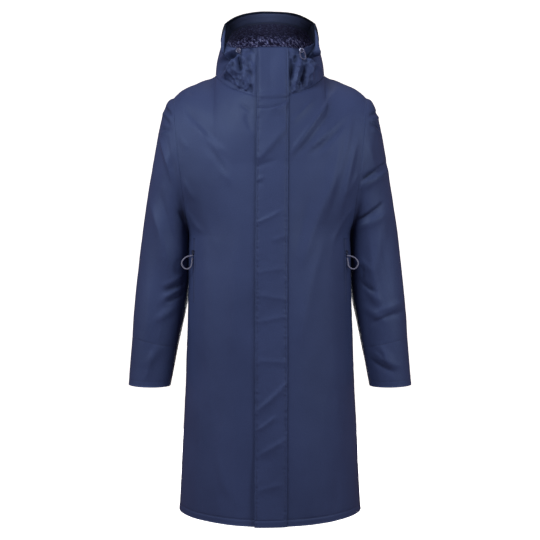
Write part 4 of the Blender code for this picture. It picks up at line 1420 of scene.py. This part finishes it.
def hood_arches(span, rows, foot, side_rows, half_columns):
    """Arches of the hood's lining, from one place along the crown to another, with inside points."""
    grid = []
    for s in steps(span[0], span[1], rows):
        u = CORNER_U + s / SIDE_END * (1.0 - CORNER_U)
        rise = [hood_side_point(u, v, -1) for v in steps(foot, 1.0, side_rows)]
        over = [crown_point(s, a) for a in steps(-1.0, 1.0, 2 * half_columns)][1:-1]
        fall = [hood_side_point(u, v, 1) for v in steps(1.0, foot, side_rows)]
        grid.append(rise + over + fall)
    grid = as_array(grid)
    inside = core(grid, *HOOD_CORE)
    normal = outward(grid, inside)
    return grid, inside, normal, grid - normal * (SHELL_WALL + LINING_GAP)


FACING_EDGE = 0.31           # along the crown, where the facing's loose wavy edge hangs
FACING_HANG = 0.0050


def make_hood_facing(material):
    """The facing behind the brim, whose loose back edge hangs in waves."""
    grid, inside, normal, outer = hood_arches((FACING_SPAN[0], FACING_EDGE), 34, 0.66, 26, 34)
    down = lengths(grid, 0)
    share = down / down[-1:]
    slack = 0.0008 * (1.0 + wander(grid, 0.018, 71.0)) * ramp(down, 0.0, 0.01)
    slack += FACING_HANG * ramp(share, 0.55, 0.80)
    wave = 0.006 * wander(grid[-1:], 0.030, 75.0)[..., None]
    along = grid[-1:] - grid[-2:-1]
    along /= np.maximum(np.linalg.norm(along, axis=2, keepdims=True), 1e-9)
    outer = outer + along * wave * ramp(share, 0.4, 1.0)[..., None] - normal * slack[..., None]
    draw_in(outer, last_row=SEAM_INSET)
    cloth("hood_facing_cloth", outer, behind(outer, inside, FACING_WALL), material, "shell",
          "hood_facing")


PILE = 0.0040                # how far the curls stand out of the fleece's wall
ROLL_OUT = 0.006             # and the roll behind the neck


def make_hood_lining(material):
    """The fleece behind the facing, with curls and a thick roll behind the neck."""
    grid, inside, _, outer = hood_arches(LINING_SPAN, 100, 0.05, 40, 46)
    draw_in(outer, last_row=SEAM_INSET)
    curl = np.abs(wander(grid, 0.0050, 81.0)) + 0.5 * np.abs(wander(grid, 0.0024, 83.0))
    down, up, across, back = edge_distances(grid)
    edge = ramp(np.minimum(down, up), 0.0, 0.006) * ramp(np.minimum(across, back), 0.0, 0.006)
    below = ROLL_Z - ROLL_FALL * np.abs(grid[..., 0]) ** 3 - grid[..., 2]
    roll = ramp(below, 0.0, 0.006) * ramp(grid[..., 1], 0.02, 0.05)
    pile = LINING_WALL * 0.6 + (PILE * curl * (0.6 + 0.6 * roll) + ROLL_OUT * roll) * edge
    cloth("hood_lining_fleece", outer, behind(outer, inside, pile[..., None]), material, "fleece",
          "hood_lining")


# ---- flap and zips
def placket_grid(left_x, right_x, places, end_z, out, hood_levels, body_rows):
    """Points over the fronts and the collar between two edges, moved out by out."""
    grid = [[collar_place(mix(left_x[0], right_x[0], share), v, out) for share in places]
            for v in hood_levels]
    last_row = row_at(end_z)
    for row in body_rows:
        at = min(row, last_row)
        fall = max(at - FLAP_STRAIGHT_ROW, 0.0) / (3.0 - FLAP_STRAIGHT_ROW)
        left, right = mix(left_x[0], left_x[1], fall), mix(right_x[0], right_x[1], fall)
        grid.append([front_place(mix(left, right, share), at, out) for share in places])
        if row >= last_row:
            break
    return as_array(grid)


def smooth_join(grid, row, reach):
    """Ease the rows near the neck seam, where the collar's surface meets the fronts'."""
    low, high = row - reach, row + reach
    for i in range(low + 1, high):
        t = (i - low) / (high - low)
        straight = grid[low] * (1 - t) + grid[high] * t
        grid[i] = grid[i] * 0.35 + straight * 0.65


PLACKET_JOIN = 0.12          # above this share of the collar and this row of the fronts, it bridges
FLAP_OPEN = 0.0042           # how far the free edge lifts near the hem
FLAP_OPEN_Z = (-0.88, -0.96)
FLAP_PUCKER = 0.0011         # how far the flap puckers along its stitching


def make_storm_flap(material, thread):
    """The flap over the front zip, with a line of stitches beside each edge."""
    width = FLAP_SEWN_X[0] - FLAP_FREE_X[0]
    stitch, beside = TOP_STITCH / width, GROOVE_WIDTH / width
    places = fine(0.0, 1.0, 24, (stitch, 1.0 - stitch), (-beside, 0.0, beside))
    levels = fine(1.0, PLACKET_JOIN, 26)
    coarse = [row for row in panel_rows()[0] if row >= PLACKET_JOIN]
    rows = sorted(coarse + [mix(a, b, 0.5) for a, b in zip(coarse, coarse[1:])])
    grid = placket_grid(FLAP_FREE_X, FLAP_SEWN_X, places, HEM_Z, FLAP_LIFT, levels, rows)
    smooth_join(grid, len(levels), 5)
    normal = outward(grid, core(grid, BODY_CORE_TOP))
    down, up, across, other = edge_distances(grid)
    x, z = grid[..., 0], grid[..., 2]
    rise = ramp(z, *FLAP_OPEN_Z)
    rise = rise * rise * (3.0 - 2.0 * rise)
    share = across / across[:, -1:]
    opened = FLAP_OPEN * rise * np.clip(1.0 - share * 1.6, 0.0, 1.0) ** 1.5
    lift = crease_lift(FLAP_CREASES, x, z) + 0.0007 * (1.0 + wander(grid, (0.03, 0.03, 0.05), 91.0))
    lift = np.maximum(lift + 0.00025 * wander(grid, (0.010, 0.010, 0.014), 93.0), -0.0006)
    lift *= ramp(other, 0.0, 0.006) * np.clip(across / 0.003, 0.35, 1.0)
    beside = np.minimum(across, other) - TOP_STITCH
    lift += FLAP_PUCKER * wander(grid, (0.009, 0.009, 0.0065), 95.0) * bell(beside, 0.0045)
    lift += groove(across, TOP_STITCH) + groove(other, TOP_STITCH)
    lift += groove(down, TOP_STITCH) + groove(up, HEM_STITCH)
    bottom = grid + normal * opened[..., None]
    top = bottom + normal * (FLAP_WALL + lift)[..., None]
    cloth("storm_flap_cloth", top, bottom, material, "shell", "storm_flap")
    for edge, place in (("free", stitch), ("sewn", 1.0 - stitch)):
        column = nearest(places, place)
        stitches("flap_%s_stitches" % edge, top[:, column], normal[:, column], thread)


def make_front_zip(tape_material, teeth_material):
    """The closed zip behind the flap: a plain strip with its teeth."""
    edges = (-ZIP_HALF_WIDTH,) * 2, (ZIP_HALF_WIDTH,) * 2
    grid = placket_grid(*edges, steps(0.0, 1.0, 8), ZIP_END_Z, -SHELL_WALL - ZIP_DROP,
                        steps(1.0, PLACKET_JOIN, 12), steps(PLACKET_JOIN, 3.0, 120))
    normal = outward(grid, core(grid, BODY_CORE_TOP))
    cloth("front_zip_tape", grid, grid - normal * 0.0009, tape_material, "zip", "front_zip")
    teeth("front_zip_teeth", grid[:, 4] - normal[:, 4] * 0.0012, -normal[:, 4], 0.0022,
          (0.0030, 0.0012, 0.0011), teeth_material)


def make_pocket(side_name, side, tape_material, teeth_material):
    """A pocket's zip: a narrow folded welt with its coil."""
    places = steps(0.0, 1.0, 12)
    rows = [row_at(z) for z in steps(POCKET_Z[0], POCKET_Z[1], 60)]
    grid = as_array([[front_place(side * mix(POCKET_X[0], POCKET_X[1], p), row, POCKET_WALL + LAYER_GAP)
                      for p in places] for row in rows])
    normal = outward(grid, core(grid, math.inf))
    share, _ = np.meshgrid(places, rows)
    dip = -0.0007 * bell(share - 0.5, 0.16)
    dip -= POCKET_WALL * 0.75 * ramp(np.minimum(share, 1.0 - share), 0.2, 0.0)
    outer = grid + normal * dip[..., None]
    cloth("pocket_welt_" + side_name, outer, grid - normal * POCKET_WALL * 0.9, tape_material, "zip",
          "pocket_zip_" + side_name)
    teeth("pocket_teeth_" + side_name, outer[:, 6] - normal[:, 6] * 0.0002, normal[:, 6], 0.0018,
          (0.0018, 0.0010, 0.0006), teeth_material)


# ---- cords
def make_cord(name, points, diameter, material, node):
    """A cord along a smooth route, which stands for a CAD node."""
    curve = bpy.data.curves.new(name, "CURVE")
    curve.dimensions = "3D"
    curve.bevel_depth = diameter / 2
    curve.bevel_resolution = 4
    curve.use_fill_caps = True
    route = smooth_route(points, 3)
    spline = curve.splines.new("POLY")
    spline.points.add(len(route) - 1)
    for place, point in zip(route, spline.points):
        point.co = (*place, 1.0)
    cord = add_piece(name, curve, material, "cord", node)


def slider_frame(side):
    """Middle of a pocket slider and the way down along it."""
    x = side * (POCKET_X[0] + POCKET_X[1]) / 2
    row = row_at(SLIDER_Z)
    base = front_place(x, row)
    normal = (front_place(x, row, 0.01) - base).normalized()
    middle = front_place(x, row, POCKET_WALL + 2 * LAYER_GAP + SLIDER_SIZE[1] / 2)
    down = (front_place(x, row + 0.01) - base).normalized()
    return middle, normal.cross(down).normalized().cross(normal)


def make_pull_loop(side_name, side, material):
    middle, down = slider_frame(side)
    start = middle + down * (SLIDER_SIZE[2] / 2 + PULL_CORD / 2 + CORD_CLEAR)
    start.y -= PULL_STAND_OFF
    route = [start + Vector((side * step["aside"], -step["out"], -step["down"])) for step in PULL_ROUTE]
    make_cord("pull_cord_" + side_name, route, PULL_CORD, material,
              "pull_loop_" + side_name)


def make_hood_cord(side_name, side, material):
    x = side * EYELET_PLACE[0]
    base = hood_place(x, EYELET_PLACE[1], 0.0)
    normal = (hood_place(x, EYELET_PLACE[1], 0.01) - base).normalized()
    aside = Vector((0.0, 0.0, 1.0)).cross(normal).normalized()
    start = base + normal * (EYELET_LIFT - EYELET_WIRE + CORD_CLEAR)
    route = []
    for step in HOOD_CORD_ROUTES[side_name]:
        place = start + aside * step["aside"] + normal * step["out"]
        place.z -= step["down"]
        route.append(place)
    make_cord("hood_elastic_" + side_name, route, HOOD_CORD, material,
              "hood_cord_" + side_name)


# Each cloth piece as cut: how it is held, its width, length and area, what it hangs from or lies on,
# and the pieces that go with it.  A sleeve's width is all round its widest ring, and * stands for right
# and left.
SHEETS = [
    ("front_*_cloth", "hung", 0.332, 1.123, 0.285, "back_cloth hood_side_*_cloth",
     "front_*_hem_stitches"),
    ("back_cloth", "hung", 0.576, 1.119, 0.566, "", "back_hem_stitches"),
    ("sleeve_*_cloth", "hung", 0.803, 0.723, 0.242, "front_*_cloth back_cloth",
     "sleeve_*_band_stitches sleeve_*_cuff_stitches"),
    ("hood_side_*_cloth", "gathered", 0.423, 0.155, 0.042, "front_*_cloth back_cloth", ""),
    ("hood_centre_cloth", "hung", 0.222, 0.310, 0.055, "hood_side_right_cloth hood_side_left_cloth", ""),
    ("hood_facing_cloth", "hung", 0.310, 0.072, 0.021, "hood_centre_cloth", ""),
    ("hood_lining_fleece", "hung", 0.438, 0.215, 0.066, "hood_centre_cloth", ""),
    ("storm_flap_cloth", "hung", 0.078, 1.120, 0.087, "front_left_cloth hood_side_left_cloth",
     "flap_free_stitches flap_sewn_stitches"),
    ("front_zip_tape", "hung", 0.032, 0.961, 0.0307, "front_right_cloth front_left_cloth",
     "front_zip_teeth"),
    ("pocket_welt_*", "laid", 0.015, 0.154, 0.0023, "front_*_cloth", "pocket_teeth_*"),
]


def declare_sheets():
    for row in SHEETS:
        for side_name in ("right", "left") if "*" in row[0] else ("",):
            name, held, width, length, area, rests_on, with_pieces = (
                value.replace("*", side_name) if isinstance(value, str) else value for value in row)
            pieces = [bpy.data.objects[piece] for piece in with_pieces.split()]
            rests_on.split()

# ---- the robe
add_camera()
add_studio()
add_lamps()

shell = cloth_material("shell_cloth")
# The facing cloth carries painted shade at its sides.
facing = cloth_material("facing_cloth", FACING_NAVY, 0.6, facing_sides, FACING_DARK)
# The hood's cloth carries painted light all over and painted shade at its rim.
hood_shell = cloth_material("hood_cloth", tint(NAVY, HOOD_PAINTED_LIGHT), 0.50, hood_rim_painted_shade, RIM_PAINTED_SHADE)
fleece = fleece_material()
tape = thread_material("zip_tape", (0.020, 0.026, 0.060), 1500.0, 0.7)
teeth_plastic = thread_material("zip_teeth", (0.030, 0.036, 0.075), 700.0, 0.4)
thread = thread_material("sewing_thread", (0.012, 0.016, 0.042), 2500.0, 0.55)
braid = thread_material("braided_cord", (0.150, 0.164, 0.250), 1100.0, 0.55)
elastic = thread_material("elastic_cord", (0.085, 0.095, 0.180), 1100.0, 0.5)
plated = metal_material("plated_metal", (0.070, 0.085, 0.150), 0.40)
eyelet_finish = metal_material("eyelet_metal", (0.34, 0.39, 0.60), 0.26)

SIDES = (("right", -1, SLEEVE_RIGHT_CREASES), ("left", 1, SLEEVE_LEFT_CREASES))
for side_name, side, _ in SIDES:
    make_pull_loop(side_name, side, braid)
    make_hood_cord(side_name, side, elastic)
for side_name, side, sleeve_creases in SIDES:
    make_panel("front_" + side_name, -1, (side,), shell, thread)
    make_sleeve(side_name, side, sleeve_creases, shell, thread)
    make_hood_side(side_name, side, hood_shell)
    make_pocket(side_name, side, shell, teeth_plastic)
make_panel("back", 1, (-1, 1), shell, thread)
make_hood_centre(hood_shell)
make_hood_facing(facing)
make_hood_lining(fleece)
make_storm_flap(shell, thread)
make_front_zip(tape, teeth_plastic)

for node, finish in (("pocket_slider_right", plated), ("pocket_slider_left", plated),
                     ("hood_eyelet_right", eyelet_finish), ("hood_eyelet_left", eyelet_finish)):
    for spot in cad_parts[node].material_slots:
        spot.material = finish
declare_sheets()
